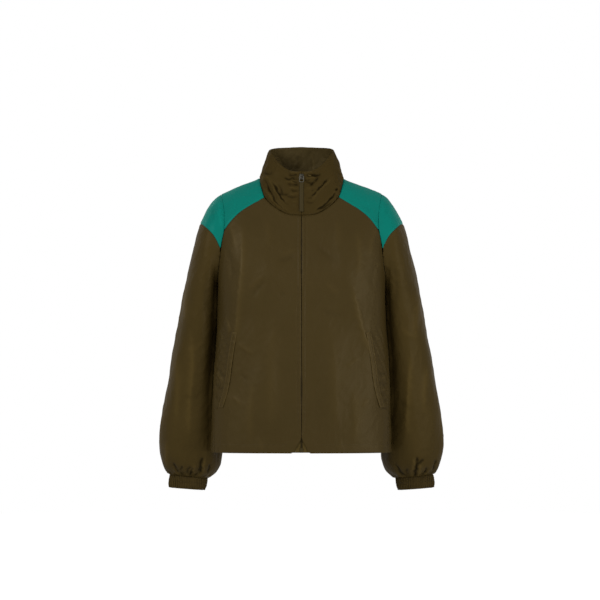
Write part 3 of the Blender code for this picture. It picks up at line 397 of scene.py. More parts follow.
class Signal:
    """A shader socket that can be used in sums."""

    def __init__(self, painter: "Painter", socket: bpy.types.NodeSocket) -> None:
        """Wraps a socket of a painter's node tree."""
        self.painter = painter
        self.socket = socket

    def _maths(self, operation: str, first: "Signal | float", second: "Signal | float" = 0.0) -> "Signal":
        """Adds a Math node for an operation on two values, and gives its result."""
        return self.painter.signal("ShaderNodeMath", {"operation": operation}, {0: first, 1: second})

    def __add__(self, other: "Signal | float") -> "Signal":
        """Sum."""
        return self._maths("ADD", self, other)

    def __radd__(self, other: float) -> "Signal":
        """Sum with a number first."""
        return self._maths("ADD", other, self)

    def __sub__(self, other: "Signal | float") -> "Signal":
        """Difference."""
        return self._maths("SUBTRACT", self, other)

    def __rsub__(self, other: float) -> "Signal":
        """Difference with a number first."""
        return self._maths("SUBTRACT", other, self)

    def __mul__(self, other: "Signal | float") -> "Signal":
        """Product."""
        return self._maths("MULTIPLY", self, other)

    def sine(self) -> "Signal":
        """Sine of the value."""
        return self._maths("SINE", self)

    def size(self) -> "Signal":
        """The value without its sign."""
        return self._maths("ABSOLUTE", self)

    def at_most(self, other: float) -> "Signal":
        """The smaller of the value and a number."""
        return self._maths("MINIMUM", self, other)

    def at_least(self, other: float) -> "Signal":
        """The larger of the value and a number."""
        return self._maths("MAXIMUM", self, other)


class Painter:
    """Builds the nodes of one material."""

    def __init__(self, name: str) -> None:
        """Starts a material with its Principled shader.

        Args:
            name: the material's name.
        """
        self.material = bpy.data.materials.new(name)
        self.material.use_nodes = True
        self.tree = self.material.node_tree
        self.shader = self.tree.nodes["Principled BSDF"]

    def node(self, kind: str, settings: dict | None = None, values: dict | None = None) -> bpy.types.Node:
        """Adds a node.

        Args:
            kind: the node's type.
            settings: its own settings.
            values: numbers, colours, signals or sockets for its inputs, by name or place.

        Returns:
            The node.
        """
        node = self.tree.nodes.new(kind)
        for name, value in (settings or {}).items():
            setattr(node, name, value)
        for name, value in (values or {}).items():
            self.feed(node.inputs[name], value)
        return node

    def signal(self, kind: str, settings: dict | None = None, values: dict | None = None,
               output: str | int = 0) -> Signal:
        """Adds a node as node() does, and gives one of its outputs, ready for sums."""
        return Signal(self, self.node(kind, settings, values).outputs[output])

    def feed(self, socket: bpy.types.NodeSocket, value: object) -> None:
        """Sets or links one input.

        Args:
            socket: the input.
            value: a signal, another socket, a number or a colour.
        """
        if isinstance(value, Signal):
            value = value.socket
        if isinstance(value, bpy.types.NodeSocket):
            self.tree.links.new(value, socket)
        else:
            socket.default_value = value

    def grain(self, scale: float, detail: float = 3.0, twist: float = 0.0,
              stretch: tuple[float, float, float] = (1.0, 1.0, 1.0)) -> Signal:
        """Noise over the object, with values of about 0 to 1.

        Args:
            scale: how many features to a metre.
            detail: how many finer layers it has.
            twist: how much it is distorted.
            stretch: how the place is scaled along each axis first.

        Returns:
            The noise.
        """
        place = self.node("ShaderNodeTexCoord").outputs["Object"]
        where = self.node("ShaderNodeMapping", None, {"Vector": place, "Scale": stretch}).outputs[0]
        return self.signal("ShaderNodeTexNoise", None, {
            "Vector": where, "Scale": scale, "Detail": detail, "Distortion": twist}, "Fac")

    def stored(self, name: str) -> Signal:
        """A number that the cloth keeps for every point under that name."""
        return self.signal("ShaderNodeAttribute", {"attribute_type": "GEOMETRY", "attribute_name": name},
                           None, "Fac")

    def waves(self, count: float) -> list[Signal]:
        """Waves over the UV map called cloth.

        Args:
            count: how many there are to a metre.

        Returns:
            Those across the piece and those along it.
        """
        split = self.node("ShaderNodeSeparateXYZ", None, {
            0: self.node("ShaderNodeUVMap", {"uv_map": "cloth"}).outputs[0]})
        return [(Signal(self, split.outputs[axis]) * (2 * math.pi * count)).sine() for axis in (0, 1)]

    def scaled(self, colour: bpy.types.NodeSocket, factor: Signal) -> bpy.types.NodeSocket:
        """A colour multiplied by a signal."""
        return self.node("ShaderNodeVectorMath", {"operation": "SCALE"},
                         {0: colour, "Scale": factor}).outputs[0]

    def toned(self, share: Signal, colour: Colour, dark: float, light: float) -> bpy.types.NodeSocket:
        """A colour times one factor where the share is 0, and times the other where it is 1."""
        return self.node("ShaderNodeMix", {"data_type": "RGBA"}, {
            0: share, 6: (*shaded(colour, dark), 1.0), 7: (*shaded(colour, light), 1.0)}).outputs[2]

    def bump(self, height: Signal, distance: float, strength: float = 1.0,
             under: bpy.types.NodeSocket | None = None) -> bpy.types.NodeSocket:
        """Relief that the light sees.

        Args:
            height: the relief, 0 to 1.
            distance: its depth in metres.
            strength: how much of it counts.
            under: another relief to lay it on.

        Returns:
            The socket of the bent normal.
        """
        values = {"Height": height, "Distance": distance, "Strength": strength}
        if under is not None:
            values["Normal"] = under
        return self.node("ShaderNodeBump", None, values).outputs[0]

    def finish(self, **inputs: object) -> bpy.types.Material:
        """Sets the shader's inputs.

        Args:
            **inputs: values or links by socket name, with _ for a space.

        Returns:
            The material.
        """
        for name, value in inputs.items():
            self.feed(self.shader.inputs[name.replace("_", " ")], value)
        return self.material


@dataclass(frozen=True)
class Nylon:
    """Crisp thin nylon with a soft satin sheen.

    Attributes:
        name: the material's name.
        colour: linear red, green and blue.
        rough: mean roughness.
        crumple: depth of its fine crumples in metres.
        ridge: how much lighter the crest of a fold is painted, a painted highlight.
        trough: how much darker the bottom of a fold is painted, a painted shade.
        gloss: level of its mirror-like part.
        tint: linear red, green and blue of that part.
        weave: depth of its weave in metres.
        threads: threads to a metre.
        seam_line: half width of a seam's dark line, and of the groove of its stitches.
        cloud: scale, detail and twist of its slow changes of tone.
        crease: scale, detail, twist and stretch of its crumples.
        crinkle: scale, detail and twist of its finest crumples.
        sheen: how many times lighter than the cloth its sheen is.
    """

    name: str
    colour: Colour
    rough: float = 0.46
    crumple: float = 0.0008
    ridge: float = 0.24
    trough: float = 0.26
    gloss: float = 0.18
    tint: Colour = (0.95, 0.78, 0.50)
    weave: float = 0.00004
    threads: float = 1900.0
    seam_line: float = 0.0012
    cloud: tuple = (7.0, 3.0, 0.4)
    crease: tuple = (34.0, 3.0, 1.4, (1.0, 1.0, 0.6))
    crinkle: tuple = (120.0, 2.0, 1.0)
    sheen: float = 6.0

    def material(self) -> bpy.types.Material:
        """Builds the material.

        Returns:
            The material, which reads what the cloth stores as seam and fold: painted shade in the seam
            groove, a painted highlight along the stitch row, and painted highlight and shade on the folds.
        """
        paint = Painter(self.name)
        cloud, crease, crinkle = (paint.grain(*noise) for noise in (self.cloud, self.crease, self.crinkle))
        fold = 1.0 - ((crease - 0.5).size() * 5.0).at_most(1.0)
        fine = 1.0 - ((crinkle - 0.5).size() * 6.0).at_most(1.0)
        warp, weft = paint.waves(self.threads)
        threads = warp * weft * 0.5 + 0.5
        seam, mark = paint.stored("seam"), paint.stored("fold")
        # Painted shade in the seam's groove, and a painted highlight along the row of stitches beside it.
        seam_groove_shade = 1.0 - (seam * (1 / self.seam_line)).at_most(1.0)
        sewn = 1.0 - ((seam - SEAM_INSET) * (1 / self.seam_line)).size().at_most(1.0)
        # Painted highlight on the crests of folds and painted shade in their troughs.
        painted_fold_light = mark.at_least(0.0) * self.ridge + mark.at_most(0.0) * self.trough
        tone = paint.toned(cloud * 0.75 + fold * 0.10 + crinkle * 0.15, self.colour, 0.86, 1.14)
        relief = paint.bump(1.0 - sewn, 0.0003, 0.5)
        for height, depth, strength in ((crease, self.crumple, 0.5), (fine, self.crumple * 0.06, 0.4),
                                        (threads, self.weave, 0.35)):
            relief = paint.bump(height, depth, strength, relief)
        return paint.finish(
            Base_Color=paint.scaled(tone, (1.0 - seam_groove_shade * 0.40 + sewn * 0.10) * (1.0 + painted_fold_light)),
            Roughness=self.rough - 0.06 + cloud * 0.10 + threads * 0.02, Normal=relief,
            Specular_IOR_Level=self.gloss, Specular_Tint=(*self.tint, 1.0), Sheen_Weight=0.02,
            Sheen_Roughness=0.4, Sheen_Tint=(*shaded(self.colour, self.sheen), 1.0))


@dataclass(frozen=True)
class Webbing:
    """Woven tape or elastic.

    Attributes:
        name: the material's name.
        colour: linear red, green and blue.
        ribs: ribs to a metre of its UV map.
        depth: depth of the ribs in metres.
        tint: linear red, green and blue of its mirror-like part.
    """

    name: str
    colour: Colour
    ribs: float
    depth: float = 0.00025
    tint: Colour = (0.95, 0.78, 0.50)

    def material(self) -> bpy.types.Material:
        """Builds the material.

        Returns:
            The material.
        """
        paint = Painter(self.name)
        across, along = (wave * 0.5 + 0.5 for wave in paint.waves(self.ribs))
        fuzz = paint.grain(700.0, 2.0)
        rib = along * 0.7 + across * 0.3
        tone = paint.toned(rib * 0.5 + fuzz * 0.5, self.colour, 0.8, 1.2)
        # The stored fold paints highlight and shade into the colour: the cuff's ribs, the tape's raised edge.
        return paint.finish(Base_Color=paint.scaled(tone, 1.04 + paint.stored("fold") * 0.52),
                            Roughness=0.72 + fuzz * 0.12,
                            Normal=paint.bump(rib * 0.8 + fuzz * 0.2, self.depth, 0.7),
                            Specular_IOR_Level=0.14, Specular_Tint=(*self.tint, 1.0))


@dataclass(frozen=True)
class Solid:
    """Plated metal, moulded plastic or thread: one grain over everything.

    Attributes:
        name: the material's name.
        colour: linear red, green and blue.
        rough: mean roughness.
        grain: scale and detail of its grain.
        dark: factor where its grain is darkest.
        light: factor where its grain is lightest.
        vary: how much rougher the grain makes it.
        depth: depth of its grain in metres.
        gloss: level of its mirror-like part.
        metal: whether it is metal, with fine scratches.
    """

    name: str
    colour: Colour
    rough: float = 0.55
    grain: tuple[float, float] = (1500.0, 3.0)
    dark: float = 0.86
    light: float = 1.14
    vary: float = 0.12
    depth: float = 0.00005
    gloss: float = 0.1
    metal: bool = False

    def material(self) -> bpy.types.Material:
        """Builds the material.

        Returns:
            The material.
        """
        paint = Painter(self.name)
        grain = paint.grain(*self.grain)
        relief = paint.grain(2400.0, 2.0, 0.0, (1.0, 1.0, 0.12)) if self.metal else grain
        return paint.finish(Base_Color=paint.toned(grain, self.colour, self.dark, self.light),
                            Roughness=self.rough + grain * self.vary, Metallic=float(self.metal),
                            Normal=paint.bump(relief, self.depth, 0.5), Specular_IOR_Level=self.gloss)


@dataclass(frozen=True)
class Paper:
    """Matt white sweep under and behind the jacket.

    Attributes:
        name: the material's name.
        glow: how much light it gives of its own, so that it stays white.
        white: share of the light that it throws back where it is darkest.
        light: how much lighter its grain gets.
    """

    name: str
    glow: float
    white: float = 0.88
    light: float = 0.92 / 0.88

    def material(self) -> bpy.types.Material:
        """Builds the material.

        Returns:
            The material.
        """
        paint = Painter(self.name)
        colour = paint.toned(paint.grain(40.0, 2.0), (self.white,) * 3, 1.0, self.light)
        return paint.finish(Base_Color=colour, Roughness=0.9, Specular_IOR_Level=0.1,
                            Emission_Color=(1.0, 1.0, 1.0, 1.0), Emission_Strength=self.glow)


class Wardrobe:
    """All finishes, each made once."""

    OLIVE = (0.0530, 0.0350, 0.0098)
    METAL = {"grain": (900.0, 3.0), "dark": 0.8, "light": 1.25, "depth": 0.00002, "gloss": 0.5, "metal": True}

    def __init__(self) -> None:
        """Builds the materials."""
        self.olive = Nylon("olive_nylon", self.OLIVE).material()
        # The collar's copy is made darker and the sleeves' copy lighter, painted shade and painted light,
        # partly making up for their lower gloss; both paint stronger highlight and shade into their folds.
        self.creased = Nylon("olive_nylon_creased", shaded(self.OLIVE, 0.94), 0.46, 0.0012,
                             0.30, 0.72, 0.03).material()
        self.gathered = Nylon("olive_nylon_gathered", shaded(self.OLIVE, 1.12), 0.46, 0.0008,
                              0.36, 0.66, 0.08).material()
        self.teal = Nylon("teal_nylon", (0.0030, 0.192, 0.148), 0.44, gloss=0.12,
                          tint=(0.30, 0.95, 0.85)).material()
        self.inside = Nylon("olive_nylon_inside", (0.071, 0.0500, 0.0168), 0.55).material()
        self.elastic = Webbing("elastic_cuff", (0.055, 0.0362, 0.0104), 900.0).material()
        # The zip tape is made lighter than the cloth, painted light against the shade it lies in behind the
        # fronts.
        self.tape = Webbing("zip_tape", (0.078, 0.053, 0.0150), 1500.0, 0.00015).material()
        self.thread = Solid("olive_thread", (0.060, 0.042, 0.014), 0.50, (2600.0, 1.0), 0.8, 1.25,
                            0.10, 0.0001, 0.35).material()
        self.steel = Solid("dark_steel", (0.085, 0.078, 0.062), 0.37, **self.METAL).material()
        self.link = Solid("link_steel", (0.155, 0.145, 0.115), 0.35, **self.METAL).material()
        self.teeth = Solid("zip_teeth", (0.030, 0.021, 0.008)).material()
        self.strap = Solid("pull_strap", (0.050, 0.0365, 0.0122)).material()
        self.paper = Paper("studio_floor", 0.92).material()


class Skin:
    """Outer face of a cloth solid as a fine mesh, ready for its folds."""

    def __init__(self, node: str, levels: int = 3) -> None:
        """Reads the face and makes it finer.

        Args:
            node: the solid's name.
            levels: how many times each face is split.
        """
        self.node = node
        self.mesh = self._finer(self._outer_face(), levels)
        self.rest = self._read(self.mesh.vertices, "co")
        self.points = self.rest
        self.normals = self._read(self.mesh.vertex_normals, "vector")

    def _outer_face(self) -> bmesh.types.BMesh:
        """Joins the solid's triangles and keeps its outer face.

        Returns:
            The face, mostly in quads.
        """
        bm = bmesh.new()
        bm.from_mesh(frame["nodes"][self.node].data)
        bmesh.ops.remove_doubles(bm, verts=bm.verts, dist=MERGE)
        faces = set(bm.faces)
        skins = []
        while faces:
            skin = [faces.pop()]
            for face in skin:
                for edge in face.edges:
                    if edge.calc_face_angle(math.pi) > RIM_ANGLE:
                        continue
                    for other in edge.link_faces:
                        if other in faces:
                            faces.discard(other)
                            skin.append(other)
            skins.append(skin)
        outer = set(max(skins, key=lambda skin: sum(face.calc_area() for face in skin)))
        bmesh.ops.delete(bm, geom=[face for face in bm.faces if face not in outer], context="FACES")
        bmesh.ops.join_triangles(bm, faces=bm.faces[:], angle_face_threshold=math.pi,
                                 angle_shape_threshold=math.pi)
        return bm

    def _finer(self, bm: bmesh.types.BMesh, levels: int) -> bpy.types.Mesh:
        """Rounds the face between its points, with the corners of its outline kept.

        Args:
            bm: the coarse face, which is used up.
            levels: how many times each face is split.

        Returns:
            The fine mesh.
        """
        corner = bm.verts.layers.float.new("crease_vert")
        for vert in bm.verts:
            rim = [edge for edge in vert.link_edges if edge.is_boundary]
            if len(rim) == 2:
                first, second = (edge.other_vert(vert).co - vert.co for edge in rim)
                if math.pi - first.angle(second) > CORNER_ANGLE:
                    vert[corner] = 1.0
        coarse = mesh_from(f"{self.node}_coarse", bm)
        piece = placed(coarse.name, coarse)
        finer = piece.modifiers.new("finer", "SUBSURF")
        finer.levels = levels
        finer.render_levels = levels
        finer.boundary_smooth = "PRESERVE_CORNERS"
        mesh = bpy.data.meshes.new_from_object(
            piece.evaluated_get(bpy.context.evaluated_depsgraph_get()))
        bpy.data.objects.remove(piece)
        bpy.data.meshes.remove(coarse)
        return mesh

    @staticmethod
    def _read(items: bpy.types.bpy_prop_collection, name: str, size: int = 3,
              kind: type = float) -> np.ndarray:
        """Reads one value of each item.

        Args:
            items: vertices, normals or corners of faces.
            name: the value's name.
            size: how many numbers it has.
            kind: the type of its numbers.

        Returns:
            The values, one a row.
        """
        values = np.empty(size * len(items), dtype=kind)
        items.foreach_get(name, values)
        return values.reshape(-1, size)

    def _corners(self, name: str) -> np.ndarray:
        """One whole number of each corner of a face, with a row for each face."""
        return self._read(self.mesh.loops, name, 1, int).reshape(-1, 4)

    def outlines(self) -> list[list[int]]:
        """Follows the outline.

        Returns:
            Rings of its points, with the face on their left as seen from outside.
        """
        corners, edges = self._corners("vertex_index"), self._corners("edge_index")
        rim = np.bincount(edges.ravel(), minlength=len(self.mesh.edges))[edges] == 1
        follow = dict(zip(corners[rim].tolist(), np.roll(corners, -1, axis=1)[rim].tolist()))
        rings = []
        while follow:
            start, spot = follow.popitem()
            ring = [start]
            while spot in follow:
                ring.append(spot)
                spot = follow.pop(spot)
            rings.append(ring)
        return rings

    def _outward(self, ring: list[int]) -> np.ndarray:
        """Directions along the face and away from it, at each point of an outline."""
        outward = np.cross(np.gradient(self.points[ring], axis=0), self.normals[ring])
        return outward / (np.linalg.norm(outward, axis=1)[:, None] + 1e-9)

    def rim(self, wanted: Test) -> list[Vector]:
        """Places along the outline as it was read, with one between each two points.

        Args:
            wanted: says of a place whether it is part of the stretch.

        Returns:
            The places that are.
        """
        spots = []
        for ring in self.outlines():
            line = self.rest[ring]
            spots.extend([*line, *(line + np.roll(line, -1, axis=0)) / 2])
        return [spot for spot in map(Vector, spots) if wanted(spot)]

    def from_edge(self, wanted: Test) -> tuple[np.ndarray, np.ndarray]:
        """How far every point is from a stretch of the outline.

        Args:
            wanted: says of an outline place whether it is part of the stretch.

        Returns:
            The distances in metres, large where there is no such stretch, and the nearest
            places of the outline.
        """
        spots = self.rim(wanted)
        if not spots:
            return np.full(len(self.rest), 1.0), self.rest
        tree = tree_of(spots)
        found = [tree.find(point) for point in self.rest]
        return np.array([hit[2] for hit in found]), np.array([tuple(hit[0]) for hit in found])

    def seam_lines(self, wanted: Test, inset: float) -> list[list[Vector]]:
        """Lines that follow stretches of the outline.

        Args:
            wanted: says of an outline place whether it is part of the stretch.
            inset: how far inside the outline they run.

        Returns:
            The lines.
        """
        lines = []
        for ring in self.outlines():
            keep = [wanted(Vector(self.rest[index])) for index in ring]
            if False in keep:
                first = keep.index(False)
                ring, keep = ring[first:] + ring[:first], keep[first:] + keep[:first]
            else:
                ring, keep = [*ring, ring[0]], [*keep, True]
            spots = self.points[ring] - self._outward(ring) * inset
            run: list[Vector] = []
            for spot, kept in zip([*spots, None], [*keep, False]):
                if kept:
                    run.append(Vector(spot))
                    continue
                if len(run) > 4:
                    lines.append(run)
                run = []
        return lines

    def store(self, name: str, values: np.ndarray) -> None:
        """Keeps one number for every point, for the material."""
        layer = self.mesh.attributes.new(name, "FLOAT", "POINT")
        layer.data.foreach_set("value", values.astype(np.float32))

    def push(self, heights: np.ndarray) -> None:
        """Moves every point out along its normal.

        Args:
            heights: how far, in metres.
        """
        self.points = self.points + self.normals * heights[:, None]
        self.mesh.vertices.foreach_set("co", self.points.ravel())
        self.mesh.update()
        self.normals = self._read(self.mesh.vertex_normals, "vector")

    def shift(self, moves: np.ndarray) -> None:
        """Moves every point by its own row of metres."""
        self.points = self.points + moves
        self.push(np.zeros(len(self.points)))

    def widen(self, wanted: Test, reach: float = 0.0005) -> None:
        """Lets the face reach a little over its outline, so that no light passes a seam.

        Args:
            wanted: the part of the outline.
            reach: how far it goes.
        """
        moves = np.zeros_like(self.points)
        for ring in self.outlines():
            kept = np.array([wanted(Vector(self.rest[index])) for index in ring])
            moves[ring] = self._outward(ring) * kept[:, None] * reach
        self.shift(moves)

    def allowance(self, wanted: Test, reach: float = 0.0024, sink: float = 0.0013) -> None:
        """Adds a narrow strip along a seam, which lies under the piece beside it.

        Args:
            wanted: the part of the outline.
            reach: width of the strip.
            sink: how far it lies under the face.
        """
        steps: dict[int, Vector] = {}
        for ring in self.outlines():
            moves = self._outward(ring) * reach - self.normals[ring] * sink
            steps |= {index: Vector(move) for index, move in zip(ring, moves)
                      if wanted(Vector(self.rest[index]))}
        bm = bmesh.new()
        bm.from_mesh(self.mesh)
        edges = [edge for edge in bm.edges
                 if edge.is_boundary and all(vert.index in steps for vert in edge.verts)]
        grown = bmesh.ops.extrude_edge_only(bm, edges=edges)["geom"]
        fresh = {item for item in grown if isinstance(item, bmesh.types.BMVert)}
        for vert in fresh:
            ends = (edge.other_vert(vert) for edge in vert.link_edges)
            root = next(end for end in ends if end not in fresh)
            vert.co = root.co + steps[root.index]
        bm.to_mesh(self.mesh)
        bm.free()
        self.mesh.update()

    def surface(self) -> BVHTree:
        """Makes the face searchable.

        Returns:
            A tree that finds its nearest place.
        """
        self.mesh.calc_loop_triangles()
        triangles = [tuple(triangle.vertices) for triangle in self.mesh.loop_triangles]
        return BVHTree.FromPolygons([Vector(point) for point in self.points], triangles)

    def close(self, profile: Sequence[tuple[float, float]]) -> None:
        """Draws a front edge towards the middle, so that it nearly covers the zip.

        Args:
            profile: height and distance from the middle that the edge ends up with, from the
                hem up, in millimetres.
        """
        across, heights = np.abs(self.points[:, 0]), self.points[:, 2]
        corner = sorted((spot.z, abs(spot.x)) for spot in self.rim(
            lambda spot: spot.y < -0.1 and abs(spot.x) < 0.0235 and HEM + 0.0002 < spot.z < HEM + 0.085))
        rows = np.array([(HEM, max((row[1] for row in corner), default=SLOT)), *corner, (HEM + 0.09, SLOT)])
        edge = np.interp(heights, rows[:, 0], rows[:, 1])
        wanted = np.interp(heights, *(np.array(profile).T * MM))
        gone = np.maximum(0.010, 3 * np.abs(wanted - edge))
        moves = np.zeros_like(self.points)
        moves[:, 0] = (np.sign(self.points[:, 0]) * (wanted - edge)
                       * fade(across - edge, 0.0, gone) * (self.points[:, 1] < 0))
        self.shift(moves)

    def unroll(self, centre: Callable[[np.ndarray], np.ndarray], round_x: bool = False) -> None:
        """Lays a UV map called cloth, in metres round and along the piece.

        Args:
            centre: gives the middle of the piece, in the two other axes, along its axis.
            round_x: whether it is rolled round the X axis, over a shoulder, or round Z.
        """
        axis, first, second = (0, 2, 1) if round_x else (2, 0, 1)
        along = self.points[:, axis]
        away = self.points[:, [first, second]] - centre(along)
        angle = np.arctan2(away[:, 0], -away[:, 1])
        radius = float(np.mean(np.hypot(away[:, 0], away[:, 1])))
        corners = self._corners("vertex_index")
        turns = angle[corners]
        turns -= 2 * math.pi * np.round((turns - turns[:, :1]) / (2 * math.pi))
        layer = self.mesh.uv_layers.new(name="cloth")
        values = np.stack([turns.ravel() * radius, along[corners.ravel()]], axis=1)
        layer.uv.foreach_set("vector", values.ravel())

    def shell(self, name: str, finish: bpy.types.Material, wall: float = SHELL,
              lining: bpy.types.Material | None = None) -> bpy.types.Object:
        """Ends the piece as a thin shell that stands for its solid.

        Args:
            name: the piece's name.
            finish: its material.
            wall: its thickness.
            lining: material of its inner face, where it has its own.

        Returns:
            The piece.
        """
        self.mesh.name = name
        self.mesh.materials.clear()
        for material in (finish, lining):
            if material is not None:
                self.mesh.materials.append(material)
        self.mesh.shade_smooth()
        piece = placed(name, self.mesh)
        thick = piece.modifiers.new("wall", "SOLIDIFY")
        thick.thickness = wall
        thick.offset = -1.0
        thick.use_even_offset = False
        thick.material_offset = len(self.mesh.materials) - 1
        round_edges(piece, EDGE_ROUND, 1, 60)
        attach(piece, GARMENT)
        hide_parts(self.node)
        slot_of(self.node)
        log.info("%s: %.4f m2 of cloth", name, sum(polygon.area for polygon in self.mesh.polygons))
        return piece


def slot_of(node: str) -> str:
    """The record's material slot of a solid."""
    return next(part["material_slot"] for part in frame["record"]["subparts"] if part["node"] == node)


def new_piece(name: str, mesh: bpy.types.Mesh, finish: bpy.types.Material,
              rides: str = GARMENT, sharp: float = 40.0) -> bpy.types.Object:
    """Object made from a mesh, at the origin.

    Args:
        name: the piece's name.
        mesh: its mesh.
        finish: its material.
        rides: the body that it moves with.
        sharp: edges that turn more than this, in degrees, stay sharp.

    Returns:
        The piece.
    """
    mesh.materials.append(finish)
    mesh.shade_smooth()
    mesh.set_sharp_from_angle(angle=math.radians(sharp))
    piece = placed(name, mesh)
    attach(piece, rides)
    log.info("%s: %d faces", name, len(mesh.polygons))
    return piece


class Stitching:
    """Rows of stitches, gathered into one piece."""

    PULLED_IN = 0.25     # how far a stitch's middle stands out, as a share of its half width
    NEAR = 0.012         # farthest that the cloth may be from a stitch

    def __init__(self, name: str, finish: bpy.types.Material, thick: float = 0.00034) -> None:
        """Starts with no stitch.

        Args:
            name: the piece's name.
            finish: the thread's material.
            thick: half the width of a stitch.
        """
        self.name = name
        self.finish = finish
        self.thick = thick
        self.bm = bmesh.new()
        self.count = 0
        bead = bmesh.new()
        bmesh.ops.create_uvsphere(bead, u_segments=4, v_segments=2, radius=1.0)
        self.bead = mesh_from("bead", bead)

    def row(self, line: Sequence[Vector], surface: BVHTree, pitch: float) -> None:
        """Sews a row along a line.

        Args:
            line: points on or near the cloth.
            surface: the cloth.
            pitch: distance from one stitch to the next.
        """
        route = Route(np.array([tuple(point) for point in line]))
        length = pitch * 0.72
        for centre in np.arange(pitch / 2, route.run[-1], pitch):
            (start, out), (end, _) = (surface.find_nearest(route.at(centre + step), self.NEAR)[:2]
                                      for step in (-length / 2, length / 2))
            if start is None or end is None or (end - start).length < length * 0.3:
                continue
            self._stitch(start, end, out)

    def _stitch(self, start: Vector, end: Vector, out: Vector) -> None:
        """Adds one stitch, a small rounded bead pulled into the cloth.

        Args:
            start: one end.
            end: the other end.
            out: outward direction of the cloth.
        """
        along = (end - start).normalized()
        across = along.cross(out).normalized()
        up = across.cross(along)
        size = Matrix.Diagonal(((end - start).length / 2, self.thick, self.thick, 1.0))
        place = Matrix.Translation((start + end) / 2 + up * self.thick * self.PULLED_IN)
        copy = self.bead.copy()
        copy.transform(place @ turned(along, across, up) @ size)
        self.bm.from_mesh(copy)
        bpy.data.meshes.remove(copy)
        self.count += 1

    def finish_piece(self) -> None:
        """Makes the piece."""
        bpy.data.meshes.remove(self.bead)
        new_piece(self.name, mesh_from(self.name, self.bm), self.finish, sharp=180.0)
        log.info("%s: %d stitches", self.name, self.count)


@dataclass
class Cloth:
    """All cloth faces of the jacket, with what lies beside each of their edges.

    Attributes:
        seam_reach: edges nearer than this to another cloth node's edge are seams.
        full_mark: height of a fold whose painted highlight or painted shade is at full strength.
        waver: how far the lines of the folds stray to the side.
        calm_reach: folds fade away this near to a seam, so that both pieces meet there.
        drape: height of the wide soft waves.
        skins: every face.
        rims: the outline of every face, searchable.
    """

    KINDS = ("front", "yoke", "sleeve_cap", "sleeve", "cuff", "pocket")
    UNDER = {"collar": ("front", "yoke", "back"), "back": ("front", "yoke"), "front": ("yoke",),
             "sleeve_left": ("sleeve_cap", "front", "back"), "sleeve_right": ("sleeve_cap", "front", "back"),
             "sleeve_cap": ("yoke", "front", "back"), "cuff": ("sleeve_left", "sleeve_right")}

    seam_reach: float = 0.0014
    full_mark: float = 0.0020
    waver: float = 0.0013
    calm_reach: float = 0.0035
    drape: float = 0.0010
    skins: dict[str, Skin] = field(default_factory=dict)
    rims: dict[str, KDTree] = field(default_factory=dict)

    def read(self) -> None:
        """Reads every face and its outline."""
        for node in [f"{kind}_{side.label}" for kind in self.KINDS for side in Side] + ["back", "collar"]:
            self.skins[node] = Skin(node)
            self.rims[node] = tree_of(self.skins[node].rim(lambda spot: True))

    def beside(self, *others: str) -> Test:
        """Test for outline points that lie along some other pieces."""
        return lambda spot: any(self.rims[node].find(spot)[2] < self.seam_reach for node in others)

    def away_from(self, *others: str) -> Test:
        """Test for outline points that lie along none of some other pieces."""
        return lambda spot: not self.beside(*others)(spot)

    def neighbours(self, node: str) -> list[str]:
        """Every other cloth node."""
        return [other for other in self.rims if other != node]

    @staticmethod
    def crumpled(points: np.ndarray, length: float, seed: int) -> np.ndarray:
        """Sharp small crumples, from -0.4 to 0.6: length and seed are those of ripple."""
        return np.clip(1 - np.abs(ripple(points, length, seed)), 0, 1) ** 2 - 0.4

    def mark(self, folds: Sequence[Crease], bent: np.ndarray, skin: Skin) -> np.ndarray:
        """Painted highlight on the folds' crests and painted shade in their troughs, over a face.

        Args:
            folds: the folds.
            bent: the face's points, strayed to the side.
            skin: the face.

        Returns:
            One value for each point, from -1 to 1.
        """
        ridges, troughs = (lifts([fold.marked() for fold in folds if fold.height * sign > 0],
                                 bent, skin.normals) for sign in (1, -1))
        broken = np.clip(0.80 + 0.45 * ripple(skin.points, 0.017, 94), 0.25, 1.1)
        dark = np.clip(troughs * broken / self.full_mark, -1, 0)
        return np.clip(ridges / self.full_mark, 0, 1) * (1 + dark) + dark

    def relief(self, node: str, folds: Sequence[Crease], crumple: float = 0.0007, pucker: float = 0.0005,
               more: np.ndarray | float = 0.0, marks: np.ndarray | float = 0.0) -> None:
        """Gives a face its folds, its seam valleys and its puckers.

        Args:
            node: the face's node.
            folds: its folds.
            crumple: height of its small sharp crumples.
            pucker: height of the puckers along its seams.
            more: heights that are already worked out.
            marks: painted highlight or painted shade that other folds add, from -1 to 1.
        """
        skin = self.skins[node]
        seam = self.beside(*self.neighbours(node))
        away, foot = skin.from_edge(seam)
        bent = skin.points + self.waver * np.stack(
            [ripple(skin.points, 0.015, seed) for seed in (91, 92, 93)], axis=1)
        # Painted light: the fold channel lightens crests and darkens troughs in the base colour.
        skin.store("fold", np.clip(self.mark(folds, bent, skin) + marks, -1, 1))
        calm = 1 - np.exp(-(away / self.calm_reach) ** 2)
        height = (lifts(folds, bent, skin.normals) + more) * calm
        height += self.drape * ripple(skin.points, 0.075, 11)
        height += calm * crumple * self.crumpled(skin.points, 0.034, 23)
        height += calm * crumple * 0.35 * self.crumpled(skin.points, 0.015, 31)
        height += Pucker(pucker, 0.011, 41, 0.009).over(away, foot)
        height += SEAM_WELT.over(away) + SEAM_DENT.over(away)
        skin.push(height)
        skin.widen(seam)
        skin.store("seam", away)

    def tuck(self) -> None:
        """Adds the seam allowances, each on one of the two pieces of a seam."""
        for node, skin in self.skins.items():
            kinds = next((kinds for start, kinds in self.UNDER.items() if node.startswith(start)), ())
            others = [other for other in self.neighbours(node) if kinds and other.startswith(kinds)]
            if others:
                skin.allowance(self.beside(*others))


